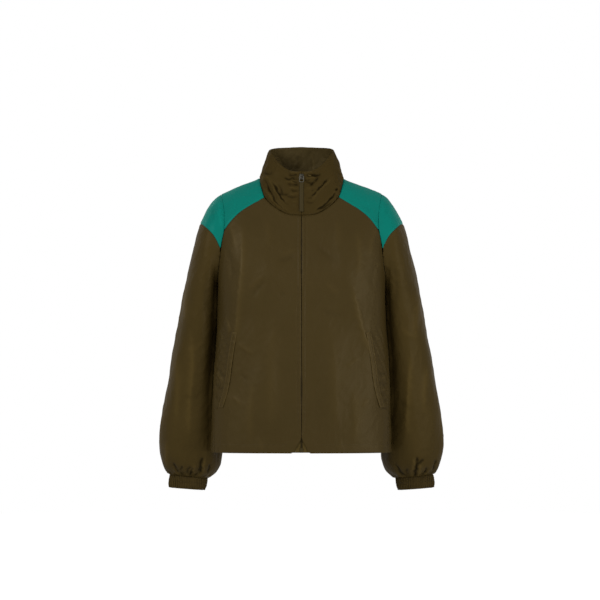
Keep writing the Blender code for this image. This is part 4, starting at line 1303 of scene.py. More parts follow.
@dataclass(frozen=True)
class Panel:
    """How one cut piece of the body is built.

    Attributes:
        node: its solid.
        cut: width, length and area of the cut piece, in metres.
        rests_on: nodes that it hangs from.
        folds: its folds.
        crumple: height of its small crumples.
        shoulder: whether it is a teal piece that lies over a shoulder.
    """

    node: str
    cut: tuple[float, float, float]
    rests_on: tuple[str, ...]
    folds: tuple[Crease, ...] = ()
    crumple: float = 0.0007
    shoulder: bool = False


FRONT_RIGHT_FOLDS = (
    *creases(View.FRONT, 1.3, 0.3, (((-186, -388), (-172, -407), (-163, -403)), 2.6, -1.8),
             (((-189, -425), (-178, -436), (-170, -432)), 2.6, -1.8),
             (((-190, -452), (-178, -462)), 2.4, -1.5), (((-192, -474), (-182, -480)), 2.4, -2.2)),
    *creases(View.FRONT, 1.4, 0.3, (((-185, -400), (-174, -420), (-168, -419)), 3, 1.4)),
    *creases(View.FRONT, 1.5, 0.3,
             (((-133, -66), (-129, -136), (-137, -242), (-144, -317), (-157, -374)), 7, 2.4, 0.3),
             (((-164, -277), (-153, -319)), 5, 1.6, -0.3), (((-10, -143), (-52, -158)), 6, -1.4),
             (((-12, -131), (-46, -143)), 5, 0.8), (((-78, -198), (-113, -238)), 6, -1.5),
             (((-84, -188), (-118, -222)), 5, 0.9), (((-35, -226), (-51, -236)), 6, -1),
             (((-140, -335), (-118, -352), (-101, -359)), 5, 1.1, 0.2),
             (((-133, -402), (-117, -418)), 5, -0.9), (((-150, -452), (-131, -470)), 5, 1),
             (((-92, -540), (-84, -574)), 5, 0.9),
             (((-168, -70), (-151, -96), (-146, -130)), 7, 1.4, 0.2),
             (((-171, -120), (-155, -160), (-152, -205)), 7, -1.3, 0.2)),
    *creases(View.FRONT, 2, 0.3, (((-60, -270), (-67, -400), (-66, -540)), 13, 1.4, 0.2),
             (((-104, -400), (-112, -480), (-109, -566)), 11, 1.3, -0.3),
             (((-31, -350), (-36, -450), (-33, -560)), 12, -0.4),
             (((-80, -60), (-72, -96), (-74, -130)), 9, 0.9)),
)
FRONT_LEFT_FOLDS = (
    *creases(View.FRONT, 1.3, 0.3, (((167, -394), (177, -403), (190, -398)), 2.6, -2),
             (((170, -418), (180, -427), (191, -421)), 2.6, -2),
             (((172, -446), (191, -449)), 2.3, -1.7), (((173, -459), (192, -463)), 2.3, -1.5),
             (((174, -476), (193, -479)), 2.3, -2)),
    *creases(View.FRONT, 1.4, 0.3, (((170, -408), (179, -412), (190, -409)), 3, 1.4),
             (((171, -434), (181, -437), (191, -434)), 3, 1.4)),
    *creases(View.FRONT, 1.5, 0.3,
             (((107, -198), (129, -286), (140, -326), (155, -356), (162, -396)), 7, 2.2, -0.3),
             (((120, -86), (126, -150), (121, -196)), 8, 1.4, 0.2),
             (((30, -120), (62, -146), (80, -151)), 7, -1.2), (((52, -205), (84, -232)), 6, 1),
             (((40, -262), (70, -275), (96, -274)), 6, -0.9),
             (((126, -366), (108, -380), (96, -384)), 5, 1), (((147, -455), (131, -476)), 5, 0.9),
             (((88, -545), (80, -573)), 5, 0.8),
             (((171, -80), (155, -112), (150, -150)), 7, 1.3, -0.2),
             (((172, -140), (158, -180), (152, -226)), 7, -1.2, -0.2)),
    *creases(View.FRONT, 2, 0.3, (((66, -300), (72, -420), (76, -545)), 13, 1.3, -0.2),
             (((112, -430), (118, -500), (114, -566)), 11, 1.3, 0.3),
             (((34, -380), (38, -470), (36, -562)), 12, -0.4),
             (((74, -62), (80, -100), (76, -132)), 9, 0.8)),
)
BACK_FOLDS = (
    *creases(View.BACK, 1.5, 0.3,
             (((-150, -80), (-138, -150), (-143, -250), (-150, -330)), 8, 2, 0.3),
             (((152, -95), (141, -170), (138, -240), (147, -320)), 8, 2.1, -0.3),
             (((-40, -170), (6, -188), (50, -180)), 8, -1.1), (((-116, -210), (-82, -236)), 6, 1.1),
             (((64, -216), (104, -244)), 6, 1), (((-30, -300), (12, -316)), 6, 0.9),
             (((-146, -410), (-110, -428)), 6, -1), (((104, -350), (146, -372)), 6, -1),
             (((-172, -70), (-158, -100), (-152, -150)), 7, 1.5, 0.2),
             (((171, -75), (160, -108), (151, -146)), 7, 1.5, -0.2)),
    *creases(View.BACK, 2, 0.3, (((-92, -60), (-86, -140), (-94, -260)), 12, 1.5),
             (((84, -70), (92, -160), (88, -300)), 12, 1.4, 0.1),
             (((-20, -110), (-14, -260), (-22, -430)), 14, -1.3),
             (((38, -250), (44, -400), (40, -560)), 13, 1.5),
             (((-58, -330), (-64, -450), (-60, -566)), 13, 1.5, 0.2),
             (((-120, -380), (-126, -480), (-122, -566)), 10, 1.3, -0.2),
             (((118, -400), (126, -490), (121, -566)), 10, 1.3, 0.2),
             (((-58, -20), (-20, -34), (24, -33), (60, -21)), 9, -1)),
)
CAP_RIGHT_FOLDS = (
    *creases(View.FRONT, 1.5, 0.3, (((-181, -18), (-179, -50), (-173, -88)), 4, 1.1),
             (((-194, -40), (-192, -70)), 4, -0.8)),
)
CAP_LEFT_FOLDS = (
    *creases(View.FRONT, 1.5, 0.3, (((217, -33), (219, -60), (217, -84)), 4, 1.1),
             (((186, -24), (184, -60)), 4, -0.8)),
)
SLEEVE_LEFT_FOLDS = (
    *creases(View.FRONT, 1.3, 0.25, (((254, -584), (253, -606), (249, -626)), 3.2, -4.2, 0.2),
             (((253, -606), (262, -598), (271, -592)), 3, -3)),
    *creases(View.FRONT, 1.4, 0.3, (((246, -588), (245, -608), (241, -624)), 4, 2.2),
             (((262, -603), (259, -616), (256, -628)), 4, 2.4)),
    *creases(View.FRONT, 1.3, 0.3, (((297, -592), (293, -610), (289, -622)), 3, -3),
             (((206, -600), (215, -617), (226, -631)), 3, -2.8),
             (((231, -612), (233, -630)), 2.6, -2.2), (((276, -610), (272, -626)), 2.6, -2.2)),
    *creases(View.FRONT, 1.5, 0.3,
             (((241, -343), (234, -418), (230, -528), (223, -563)), 7, 2, 0.3),
             (((200, -150), (207, -210), (205, -270)), 8, -1.3),
             (((214, -300), (236, -318), (262, -322)), 6, 0.9),
             (((210, -460), (232, -478), (250, -480)), 6, -0.9)),
    *creases(View.FRONT, 2, 0.3, (((262, -210), (252, -270), (247, -330)), 9, 1.5),
             (((276, -380), (268, -440), (270, -500)), 8, 1.5)),
    *creases(View.BACK, 2, 0.3, (((250, -130), (246, -240), (252, -350)), 9, 1.8, -0.2),
             (((226, -210), (232, -320), (229, -430)), 9, -1.4),
             (((262, -330), (258, -440), (264, -560)), 9, 1.7, 0.2)),
    *creases(View.BACK, 1.5, 0.3, (((222, -270), (250, -290), (276, -288)), 7, 1.1),
             (((226, -420), (248, -440), (270, -442)), 6, 1)),
    *creases(View.LEFT, 2, 0.3, (((-20, -140), (-8, -240), (6, -330), (24, -430)), 10, 1.5, 0.2),
             (((28, -210), (36, -320), (48, -440)), 9, -1.2)),
    *creases(View.LEFT, 1.5, 0.3, (((4, -470), (14, -520), (16, -580)), 8, 1.4),
             (((-14, -300), (14, -318), (38, -314)), 7, 0.9)),
)
SLEEVE_RIGHT_FOLDS = (
    *creases(View.FRONT, 1.3, 0.25, (((-217, -585), (-221, -607), (-225, -628)), 3.2, -4.2, -0.2)),
    *creases(View.FRONT, 1.4, 0.3, (((-211, -590), (-215, -608), (-218, -626)), 3.6, 2.2),
             (((-232, -602), (-238, -616), (-235, -628)), 3.4, 2)),
    *creases(View.FRONT, 1.3, 0.3, (((-199, -602), (-203, -614), (-207, -625)), 2.8, -3),
             (((-243, -606), (-249, -615), (-254, -627)), 2.8, -3.2),
             (((-238, -611), (-243, -619), (-245, -628)), 2.4, -2.4),
             (((-283, -598), (-276, -612), (-270, -624)), 2.8, -2.6),
             (((-262, -606), (-266, -618)), 2.6, -2)),
    *creases(View.FRONT, 1.5, 0.3, (((-296, -550), (-297, -585), (-296, -616)), 5, 1.5),
             (((-243, -300), (-238, -380), (-245, -470), (-247, -560)), 8, 1.8, -0.3),
             (((-203, -160), (-208, -220), (-206, -290)), 8, -1.2),
             (((-212, -330), (-234, -350), (-256, -350)), 6, 0.9),
             (((-214, -440), (-236, -455), (-262, -452)), 6, -0.9)),
    *creases(View.FRONT, 2, 0.3, (((-262, -180), (-256, -240), (-251, -300)), 9, 1.4),
             (((-277, -340), (-272, -430), (-277, -520)), 8, 1.3)),
    *creases(View.BACK, 2, 0.3, (((-250, -120), (-245, -230), (-252, -340)), 9, 1.7, 0.2),
             (((-228, -230), (-233, -330), (-228, -440)), 9, -1.3),
             (((-264, -350), (-257, -450), (-262, -560)), 9, 1.8, -0.2)),
    *creases(View.BACK, 1.5, 0.3, (((-224, -300), (-252, -318), (-274, -314)), 7, 1.1),
             (((-228, -470), (-248, -486), (-268, -484)), 6, 1)),
    *creases(View.RIGHT, 2, 0.3, (((-22, -150), (-10, -250), (4, -340), (22, -440)), 10, 1.4, -0.2),
             (((26, -230), (34, -330), (46, -450)), 9, -1.2)),
    *creases(View.RIGHT, 1.5, 0.3, (((2, -480), (12, -530), (14, -585)), 8, 1.5),
             (((-12, -270), (12, -290), (36, -284)), 7, 0.9)),
)
COLLAR_FOLDS = (
    *creases(View.FRONT, 1.3, 0.3,
             (((-82, 29), (-75, 7), (-67, -8), (-56, -28), (-45, -39), (-22, -56)), 2.2, -2),
             (((-55, -8), (-38, -12), (-24, -12)), 2.2, -1),
             (((10, -19), (18, -20), (30, -19)), 2, -1),
             (((-77, 26), (-62, 8), (-48, -18), (-30, -36)), 4.5, 2.6, 0.3),
             (((-88, 9), (-76, -7), (-60, -27), (-44, -41), (-24, -52)), 4, 2.2, 0.2),
             (((-52, 12), (-44, -4), (-42, -16)), 3, -1),
             (((-40, 27), (-26, 22), (-8, 27)), 3, -1.8),
             (((-36, 21), (-22, 16), (-7, 19)), 2.6, 1.6),
             (((68, 25), (54, 12), (36, -5), (21, -29)), 4.2, 2.4, -0.3),
             (((8, 31), (24, 30), (44, 33)), 3, -2.8), (((9, 25), (22, 26), (34, 24)), 2.6, 1.6),
             (((8, -28), (18, -31), (28, -28)), 2.6, -0.9),
             (((86, 6), (76, -6), (62, -24), (46, -38), (26, -50)), 4, 2.4, -0.2)),
    *creases(View.FRONT, 1.2, 0.2, (((-30, 33), (-20, 30), (-9, 34)), 2, -1.5),
             (((-24, 24), (-14, 21), (-7, 23)), 1.8, -1.2),
             (((-22, 17), (-14, 15), (-7, 14)), 1.8, -1.2),
             (((7, 20), (13, 19), (19, 22)), 1.8, -1.2)),
    *creases(View.FRONT, 1.4, 0.3, (((-86, 40), (-74, 34), (-62, 38)), 3, -1),
             (((-100, 14), (-90, 4), (-82, -2)), 3, -1.2),
             (((84, 34), (92, 16), (90, 2)), 3.2, 1.3), (((80, 2), (77, -1), (74, -5)), 3, -2.4)),
    *creases(View.FRONT, 1.2, 0.3, (((-70, 22), (-56, 2), (-43, -22), (-26, -38)), 2.6, -2.4, 0.2),
             (((-32, 12), (-18, 9), (-6, 11)), 2.3, -1.6),
             (((-28, 5), (-17, 2), (-6, 4)), 2.3, 1.4),
             (((-25, -2), (-15, -4), (-6, -3)), 2.2, -1.4),
             (((-27, -9), (-16, -11), (-6, -9)), 2.3, 1.2),
             (((-34, -16), (-18, -18), (-7, -17)), 2.3, -1.2),
             (((-22, -27), (-14, -28), (-7, -26)), 2.2, 1),
             (((62, 27), (46, 10), (30, -8), (18, -20)), 2.4, -3),
             (((39, 27), (26, 15), (18, 5)), 2.6, -2.8), (((8, 14), (14, 15), (22, 12)), 2.2, -1.2),
             (((9, 2), (15, 3), (22, 1)), 2.2, 1.1), (((20, -4), (28, -2), (35, -3)), 2, -1.3),
             (((78, -2), (68, -16), (54, -31), (42, -41), (28, -50)), 2.6, -3.4),
             (((68, -26), (56, -36), (44, -47)), 2.2, -1.8)),
    *creases(View.FRONT, 1.5, 0.3, (((-92, 30), (-80, 24), (-68, 30)), 3.5, 1.2)),
    *creases(View.FRONT, 1.3, 0.15, (((-27, 39), (-15, 36), (-5, 36)), 2, 1.6),
             (((6, 36), (14, 36), (25, 39)), 2, 1.6)),
    *creases(View.BACK, 1.3, 0.3, (((-58, 84), (-42, 56), (-36, 34)), 4, 1.8, 0.2),
             (((-50, 60), (-34, 46), (-16, 40)), 3, -1.6),
             (((20, 88), (27, 60), (22, 38)), 4, 1.6, -0.2),
             (((62, 78), (50, 56), (47, 36)), 3.4, -1.6), (((30, 48), (48, 44), (66, 50)), 3, 1.3),
             (((-14, 86), (-10, 62), (-16, 44)), 3.4, -1.4),
             (((-76, 60), (-70, 40), (-72, 24)), 3.4, 1.4)),
    *creases(View.LEFT, 1.3, 0.3, (((-40, 50), (-30, 14), (-34, -16)), 4, 1.8, 0.2),
             (((-10, 78), (-6, 44), (-14, 16)), 3.4, -1.6),
             (((20, 80), (16, 52), (22, 26)), 3.4, 1.5)),
    *creases(View.RIGHT, 1.3, 0.3, (((-34, 48), (-26, 14), (-32, -12)), 4, 1.7, -0.2),
             (((-6, 76), (-12, 46), (-6, 14)), 3.4, -1.5),
             (((18, 82), (22, 54), (16, 26)), 3.4, 1.6)),
)


@dataclass(frozen=True)
class Gather:
    """One pleat where a sleeve is gathered into its cuff.

    Attributes:
        turn: degrees round the sleeve, 0 at the front and 90 on the outside.
        width: distance from its crest to where it has mostly gone, in millimetres.
        height: how far it stands out in millimetres; a trough is below zero.
        length: how far up the sleeve it runs, in millimetres.
        slant: degrees that it turns on its way up.
    """

    turn: float
    width: float
    height: float
    length: float
    slant: float

    def lift(self, angle: np.ndarray, radius: np.ndarray, away: np.ndarray) -> np.ndarray:
        """Height that the pleat adds.

        Args:
            angle: degrees round the sleeve, of each place.
            radius: distance from the sleeve's middle.
            away: distance from the cuff's seam.

        Returns:
            One height for each place, in metres.
        """
        share = np.clip(away / (self.length * MM), 0.0, 1.0)
        past = (angle - self.turn - self.slant * share + 180) % 360 - 180
        width = self.width * MM * (0.75 + 0.9 * share)
        shape = np.exp(-(np.abs(np.radians(past) * radius) / width) ** 1.4)
        return self.height * MM * shape * (1 - share) ** 1.3


GATHERS = {
    Side.LEFT: tuple(Gather(*row) for row in (
        (2, 2.6, -3.0, 34, 6), (11, 3.0, 2.2, 40, 8), (-9, 3.0, 1.8, 30, -4), (27, 2.4, -2.2, 26, 10),
        (38, 3.0, 1.8, 30, 8), (-30, 2.4, -1.6, 22, -6), (-46, 2.8, 1.4, 26, -4), (58, 2.2, -1.8, 24, 4),
        (76, 2.8, 1.8, 34, 0), (97, 2.2, -2.2, 28, 0), (112, 3.0, 1.6, 30, -4), (138, 2.6, -2.4, 32, -4),
        (153, 2.8, 1.8, 28, 0), (174, 2.4, -2.0, 26, 6), (-168, 3.0, 1.8, 36, 4), (-148, 2.2, -1.8, 24, 0),
        (-128, 2.8, 1.5, 30, 0), (-104, 2.4, -2.0, 30, 0), (-86, 2.8, 1.4, 26, 4),
        (-66, 2.2, -1.4, 22, 0))),
    Side.RIGHT: tuple(Gather(*row) for row in (
        (-4, 2.6, -1.8, 28, -8), (8, 3.0, 1.6, 30, -6), (-22, 2.4, -1.6, 26, -6), (-35, 3.0, 1.3, 24, -4),
        (-50, 2.2, -1.4, 22, 0), (24, 2.4, -1.6, 28, -4), (40, 2.8, 1.5, 32, 0), (61, 2.4, -1.8, 26, 4),
        (80, 2.8, 1.9, 38, 0), (103, 2.4, -2.0, 26, 0), (121, 3.0, 1.6, 34, 4), (143, 2.2, -2.2, 24, 0),
        (161, 2.8, 1.9, 30, -4), (-177, 2.4, -1.9, 34, 0), (-160, 2.8, 1.6, 26, 6),
        (-136, 2.4, -2.2, 30, 0), (-116, 2.8, 1.4, 28, 0), (-94, 2.2, -1.9, 24, -4),
        (-72, 2.8, 1.3, 26, 0))),
}


@dataclass
class Sleeve:
    """One sleeve with its cuff.

    Attributes:
        side: the arm that it is for.
        heights: heights that its middle is given for.
        across: how far its middle is from the body's, at those heights.
        depth: how far back its middle is.
        pinch: distance from the cuff's seam where the pleats reach their full height.
        strength: how much higher the pleats are than in their table.
        full_mark: height of a pleat whose painted highlight or painted shade is at full strength.
        ribs: ribs round the cuff.
        rib_height: their height.
        rows: where the cuff's rows of stitches are, as shares of its length.
        lean_reach: farthest that the inner side leans towards the body.
        lean_gap: how far from the body it stays.
    """

    side: Side
    heights: tuple[float, ...] = (-0.66, -0.62, -0.545, -0.44, -0.30, -0.20, -0.05)
    across: tuple[float, ...] = (0.2485, 0.2485, 0.2445, 0.2425, 0.230, 0.219, 0.195)
    depth: tuple[float, ...] = (0.040, 0.040, 0.038, 0.028, 0.012, 0.0, -0.008)
    pinch: float = 0.006
    strength: float = 1.7
    full_mark: float = 0.0026
    ribs: int = 54
    rib_height: float = 0.0010
    rows: tuple[float, ...] = (0.14, 0.5, 0.86)
    lean_reach: float = 0.008
    lean_gap: float = 0.0003

    def centre(self, heights: np.ndarray) -> np.ndarray:
        """Middle of the sleeve, across and depth, at each height."""
        across = np.interp(heights, self.heights, self.across) * self.side.value
        return np.stack([across, np.interp(heights, self.heights, self.depth)], axis=1)

    def turns(self, points: np.ndarray) -> tuple[np.ndarray, np.ndarray]:
        """Where points lie round the sleeve.

        Args:
            points: places on it.

        Returns:
            Their angle in degrees, 0 at the front and 90 on the outside, and their distance
            from the middle in metres.
        """
        away = points[:, :2] - self.centre(points[:, 2])
        angle = np.degrees(np.arctan2(away[:, 0] * self.side.value, -away[:, 1]))
        return angle, np.hypot(away[:, 0], away[:, 1])

    def ribbed(self, points: np.ndarray) -> np.ndarray:
        """Height of the cuff's ribs, uneven as elastic draws them.

        Args:
            points: places on the cuff.

        Returns:
            One height for each, in metres.
        """
        angle, _ = self.turns(points)
        phase = np.radians(angle) * self.ribs + 1.1 * ripple(points * np.array([1, 1, 0.3]), 0.03, 51)
        deep = 0.8 + 0.35 * ripple(points, 0.02, 52)
        return self.rib_height * deep * (1 - 2 * np.abs(np.sin(phase / 2)) ** 0.8)

    def build(self, cloth: Cloth, folds: Sequence[Crease]) -> None:
        """Gives the sleeve and the cuff their relief.

        Args:
            cloth: the faces.
            folds: the sleeve's folds.
        """
        sleeve, cuff = f"sleeve_{self.side.label}", f"cuff_{self.side.label}"
        skin, band = cloth.skins[sleeve], cloth.skins[cuff]
        away, _ = skin.from_edge(cloth.beside(cuff))
        angle, radius = self.turns(skin.rest)
        pleats = sum(gather.lift(angle, radius, away) for gather in GATHERS[self.side])
        pleats = self.strength * pleats * (0.12 + 0.88 * smooth_step(away, 0.0, self.pinch))
        # The pleats also paint highlight on their crests and shade in their troughs.
        cloth.relief(sleeve, folds, more=pleats, marks=pleats / self.full_mark)
        self._tuck(skin, away)
        self._lean(skin, [cloth.skins[node].surface() for node in ("back", f"front_{self.side.label}")])
        self._band(band, cloth.beside(sleeve))
        for part in (skin, band):
            part.unroll(self.centre)

    @staticmethod
    def _tuck(skin: Skin, away: np.ndarray) -> None:
        """Lets the sleeve's end reach a little way into the cuff.

        Args:
            skin: the sleeve's face.
            away: distance of its points from the cuff's seam.
        """
        near = Groove(1.0, 0.0022).over(away)
        moves = -skin.normals * (0.0006 * near)[:, None]
        moves[:, 2] -= 0.0016 * near
        skin.shift(moves)

    def _lean(self, skin: Skin, body: Sequence[BVHTree]) -> None:
        """Lets the sleeve's inner side hang against the body.

        Args:
            skin: the sleeve's face.
            body: the body's faces.
        """
        inward = -skin.normals[:, 0] * self.side.value
        toward = Vector((-self.side.value, 0.0, 0.0))
        lean = np.zeros(len(inward))
        for index in np.flatnonzero(inward > 0.2):
            hits = [tree.ray_cast(Vector(skin.points[index]), toward, self.lean_reach) for tree in body]
            gaps = [hit[3] for hit in hits if hit[0] is not None]
            if gaps:
                lean[index] = max(min(gaps) - self.lean_gap, 0.0)
        lean *= smooth_step(inward, 0.2, 0.6) * fade(lean, 0.5 * self.lean_reach, self.lean_reach)
        skin.shift(np.outer(lean, toward))

    def _band(self, band: Skin, seam: Test) -> None:
        """Gives the cuff its ribs, its turned ends and the dents of its stitch rows, and paints highlight on
        the ribs' crests and shade between them.

        Args:
            band: the cuff's face.
            seam: the part of its outline along the sleeve.
        """
        away, _ = band.from_edge(seam)
        span = away.max()
        ribs = self.ribbed(band.rest)
        height = ribs + CUFF_SEAM.over(away) + sum(CUFF_ROW.over(away - share * span) for share in self.rows)
        band.push(height - 0.0008 * smooth_step(away, span * 0.93, span))
        band.widen(seam, 0.0008)
        band.store("seam", away)
        # Painted highlight on the ribs' crests and painted shade between them.
        band.store("fold", ribs / self.rib_height)


@dataclass
class Jacket:
    """All panels, the collar, the sleeves and the pocket edges.

    Attributes:
        cloth: the faces.
        finishes: the materials.
        collar_depth: how much deeper the collar's folds are than in their table.
    """

    EDGES = {
        "front_right": ((-575, 21.5), (-571, 17), (-566, 13.5), (-561, 11), (-556, 8.5), (-551, 5),
                        (-546, 2), (-541, 0.7), (-530, 0.5)),
        "front_left": ((-575, 18.7), (-572, 14), (-567, 12), (-561, 10), (-556, 7.5), (-551, 4.5),
                       (-546, 1.8), (-541, 0.7), (-530, 0.5)),
        "collar": ((-100, 0.5), (100, 0.5))}
    POCKET = np.array([(148, -300), (152, -325), (159, -374), (167, -430), (180, -476)]) * MM
    BODY = (0.0, -0.010)
    SHOULDER = (-0.14, -0.010)

    cloth: Cloth
    finishes: Wardrobe
    collar_depth: float = 1.45

    @staticmethod
    def plan() -> list[Panel]:
        """Lists the cut pieces of the body.

        Returns:
            The pieces with their sizes.
        """
        front, cap, yoke = (0.255, 0.565, 0.1165), (0.27, 0.072, 0.0148), (0.115, 0.20, 0.0176)
        right, left, collar = ("yoke_right",), ("yoke_left",), ("collar",)
        return [
            Panel("front_right", front, right, FRONT_RIGHT_FOLDS, 0.0004),
            Panel("front_left", front, left, FRONT_LEFT_FOLDS, 0.0004),
            Panel("back", (0.53, 0.615, 0.306), (*left, *right), BACK_FOLDS),
            Panel("sleeve_cap_right", cap, right, CAP_RIGHT_FOLDS, shoulder=True),
            Panel("sleeve_cap_left", cap, left, CAP_LEFT_FOLDS, shoulder=True),
            Panel("yoke_left", yoke, collar, crumple=0.0005, shoulder=True),
            Panel("yoke_right", yoke, collar, crumple=0.0005, shoulder=True)]

    @classmethod
    def body_centre(cls, heights: np.ndarray) -> np.ndarray:
        """Middle of the body at each height."""
        return np.tile(cls.BODY, (len(heights), 1))

    @classmethod
    def shoulder_centre(cls, across: np.ndarray) -> np.ndarray:
        """Middle of a shoulder, height and depth, at each distance across."""
        return np.tile(cls.SHOULDER, (len(across), 1))

    def hem_and_edges(self, node: str) -> np.ndarray:
        """Height of a front's or the back's turned hem and of its calm zip edge.

        Args:
            node: the panel.

        Returns:
            One height for each point of its face.
        """
        skin = self.cloth.skins[node]
        low, foot = skin.from_edge(lambda spot: spot.z < HEM_BAND and abs(spot.x) > 0.0105)
        height = TURNED * fade(low, HEM_TURN - 0.001, HEM_TURN + 0.002)
        height += HEM_DENT.over(low) + HEM_PUCKER.over(low, foot) + HEM_EDGE.over(low)
        if node == "back":
            return height
        beside = np.abs(skin.rest[:, 0])
        height += ZIP_PULL.over(beside) * ripple(skin.rest * np.array([0.15, 0.3, 1.0]), 0.0095, 62)
        height += TURNED * fade(beside, 0.0075, 0.0105)
        return height + ZIP_STITCH.over(beside) + ZIP_EDGE.over(beside)

    def pocket_step(self, node: str) -> np.ndarray:
        """Height that a front loses just outside its pocket's edge, over the under-layer.

        Args:
            node: the front.

        Returns:
            One height for each point of its face.
        """
        skin = self.cloth.skins[node]
        height = skin.rest[:, 2]
        out = np.abs(skin.rest[:, 0]) - np.interp(-height, -self.POCKET[:, 1], self.POCKET[:, 0])
        inside = smooth_step(height, -0.482, -0.462) * fade(height, -0.315, -0.296)
        drop = smooth_step(out, 0.0, 0.005) * fade(out, 0.012, 0.030)
        crinkle = ripple(skin.rest * np.array([0.6, 1.0, 1.3]), 0.017, 71)
        crinkle *= fade(out, 0.02, 0.04) * smooth_step(out, 0.001, 0.006)
        return inside * View.FRONT.facing(skin.normals) * (0.0012 * crinkle - 0.0016 * drop)

    def build(self) -> None:
        """Builds every panel with its shell."""
        for panel in self.plan():
            node = panel.node
            skin = self.cloth.skins[node]
            more: np.ndarray | float = 0.0
            if node.startswith(("front", "back")):
                more = self.hem_and_edges(node)
            if node.startswith("front"):
                more = more + self.pocket_step(node)
            self.cloth.relief(node, panel.folds, panel.crumple, more=more)
            if node in self.EDGES:
                skin.close(self.EDGES[node])
            if panel.shoulder:
                skin.unroll(self.shoulder_centre, True)
                self.add(node, self.finishes.teal, panel.cut, "hung", panel.rests_on)
            else:
                skin.unroll(self.body_centre)
                self.add(node, self.finishes.olive, panel.cut, "hung", panel.rests_on,
                         lining=self.finishes.inside)

    def add(self, node: str, finish: bpy.types.Material, cut: tuple[float, float, float], held: str,
            rests_on: Sequence[str], wall: float = SHELL,
            lining: bpy.types.Material | None = None) -> None:
        """Ends one face as a sheet; its cut's width, length and area, how it is held and what it rests on are
        not used.
        """
        piece = self.cloth.skins[node].shell(f"{node}_cloth", finish, wall, lining)

    def build_collar(self) -> None:
        """Builds the stand collar, folded double along its top."""
        skin = self.cloth.skins["collar"]
        others = self.cloth.neighbours("collar")
        free = self.cloth.away_from(*others)
        base, root = skin.from_edge(self.cloth.beside(*others))
        top, foot = skin.from_edge(lambda spot: free(spot) and abs(spot.x) > 0.006)
        side = np.abs(skin.rest[:, 0])
        front = View.FRONT.facing(skin.normals)
        pull = ripple(skin.rest * np.array([0.15, 0.2, 1.0]), 0.0072, 63)
        more = (COLLAR_PULL.over(side) * pull + ZIP_STITCH.over(side)) * front
        more += COLLAR_BASE.over(base, root) + COLLAR_TOP.over(top, foot)
        more += TOP_STITCH.over(top) + TOP_EDGE.over(top)
        folds = [replace(fold, height=fold.height * self.collar_depth) for fold in COLLAR_FOLDS]
        self.cloth.relief("collar", folds, 0.0012, 0.0008, more)
        skin.close(self.EDGES["collar"])
        skin.unroll(self.body_centre)
        self.add("collar", self.finishes.creased, (0.475, 0.105, 0.0395), "hung",
                 ("front_left", "front_right", "back"), 0.0018, self.finishes.inside)

    def build_sleeves(self) -> None:
        """Builds both sleeves and cuffs."""
        for side, folds in ((Side.LEFT, SLEEVE_LEFT_FOLDS), (Side.RIGHT, SLEEVE_RIGHT_FOLDS)):
            Sleeve(side).build(self.cloth, folds)
            sleeve = f"sleeve_{side.label}"
            self.add(sleeve, self.finishes.gathered, (0.47, 0.60, 0.212), "gathered",
                     (f"sleeve_cap_{side.label}",), lining=self.finishes.inside)
            self.add(f"cuff_{side.label}", self.finishes.elastic, (0.215, 0.036, 0.0076), "stretched",
                     (sleeve,), 0.0016)

    def build_pockets(self) -> None:
        """Builds the folded edges of the two slanted pockets."""
        for side in Side:
            node = f"pocket_{side.label}"
            skin = self.cloth.skins[node]
            edge, foot = skin.from_edge(lambda spot: True)
            height = TURNED * smooth_step(edge, 0.0, 0.003) + TURNED * ripple(foot, 0.012, 65)
            skin.push(height + POCKET_STITCH.over(edge))
            skin.store("seam", edge + 0.001)
            # Painted highlight along the pocket's folded edge.
            skin.store("fold", 1.7 * fade(edge, 0.0012, 0.0034))
            skin.unroll(self.body_centre)
            self.add(node, self.finishes.olive, (0.0125, 0.182, 0.0021), "folded",
                     (f"front_{side.label}",), 0.0007)


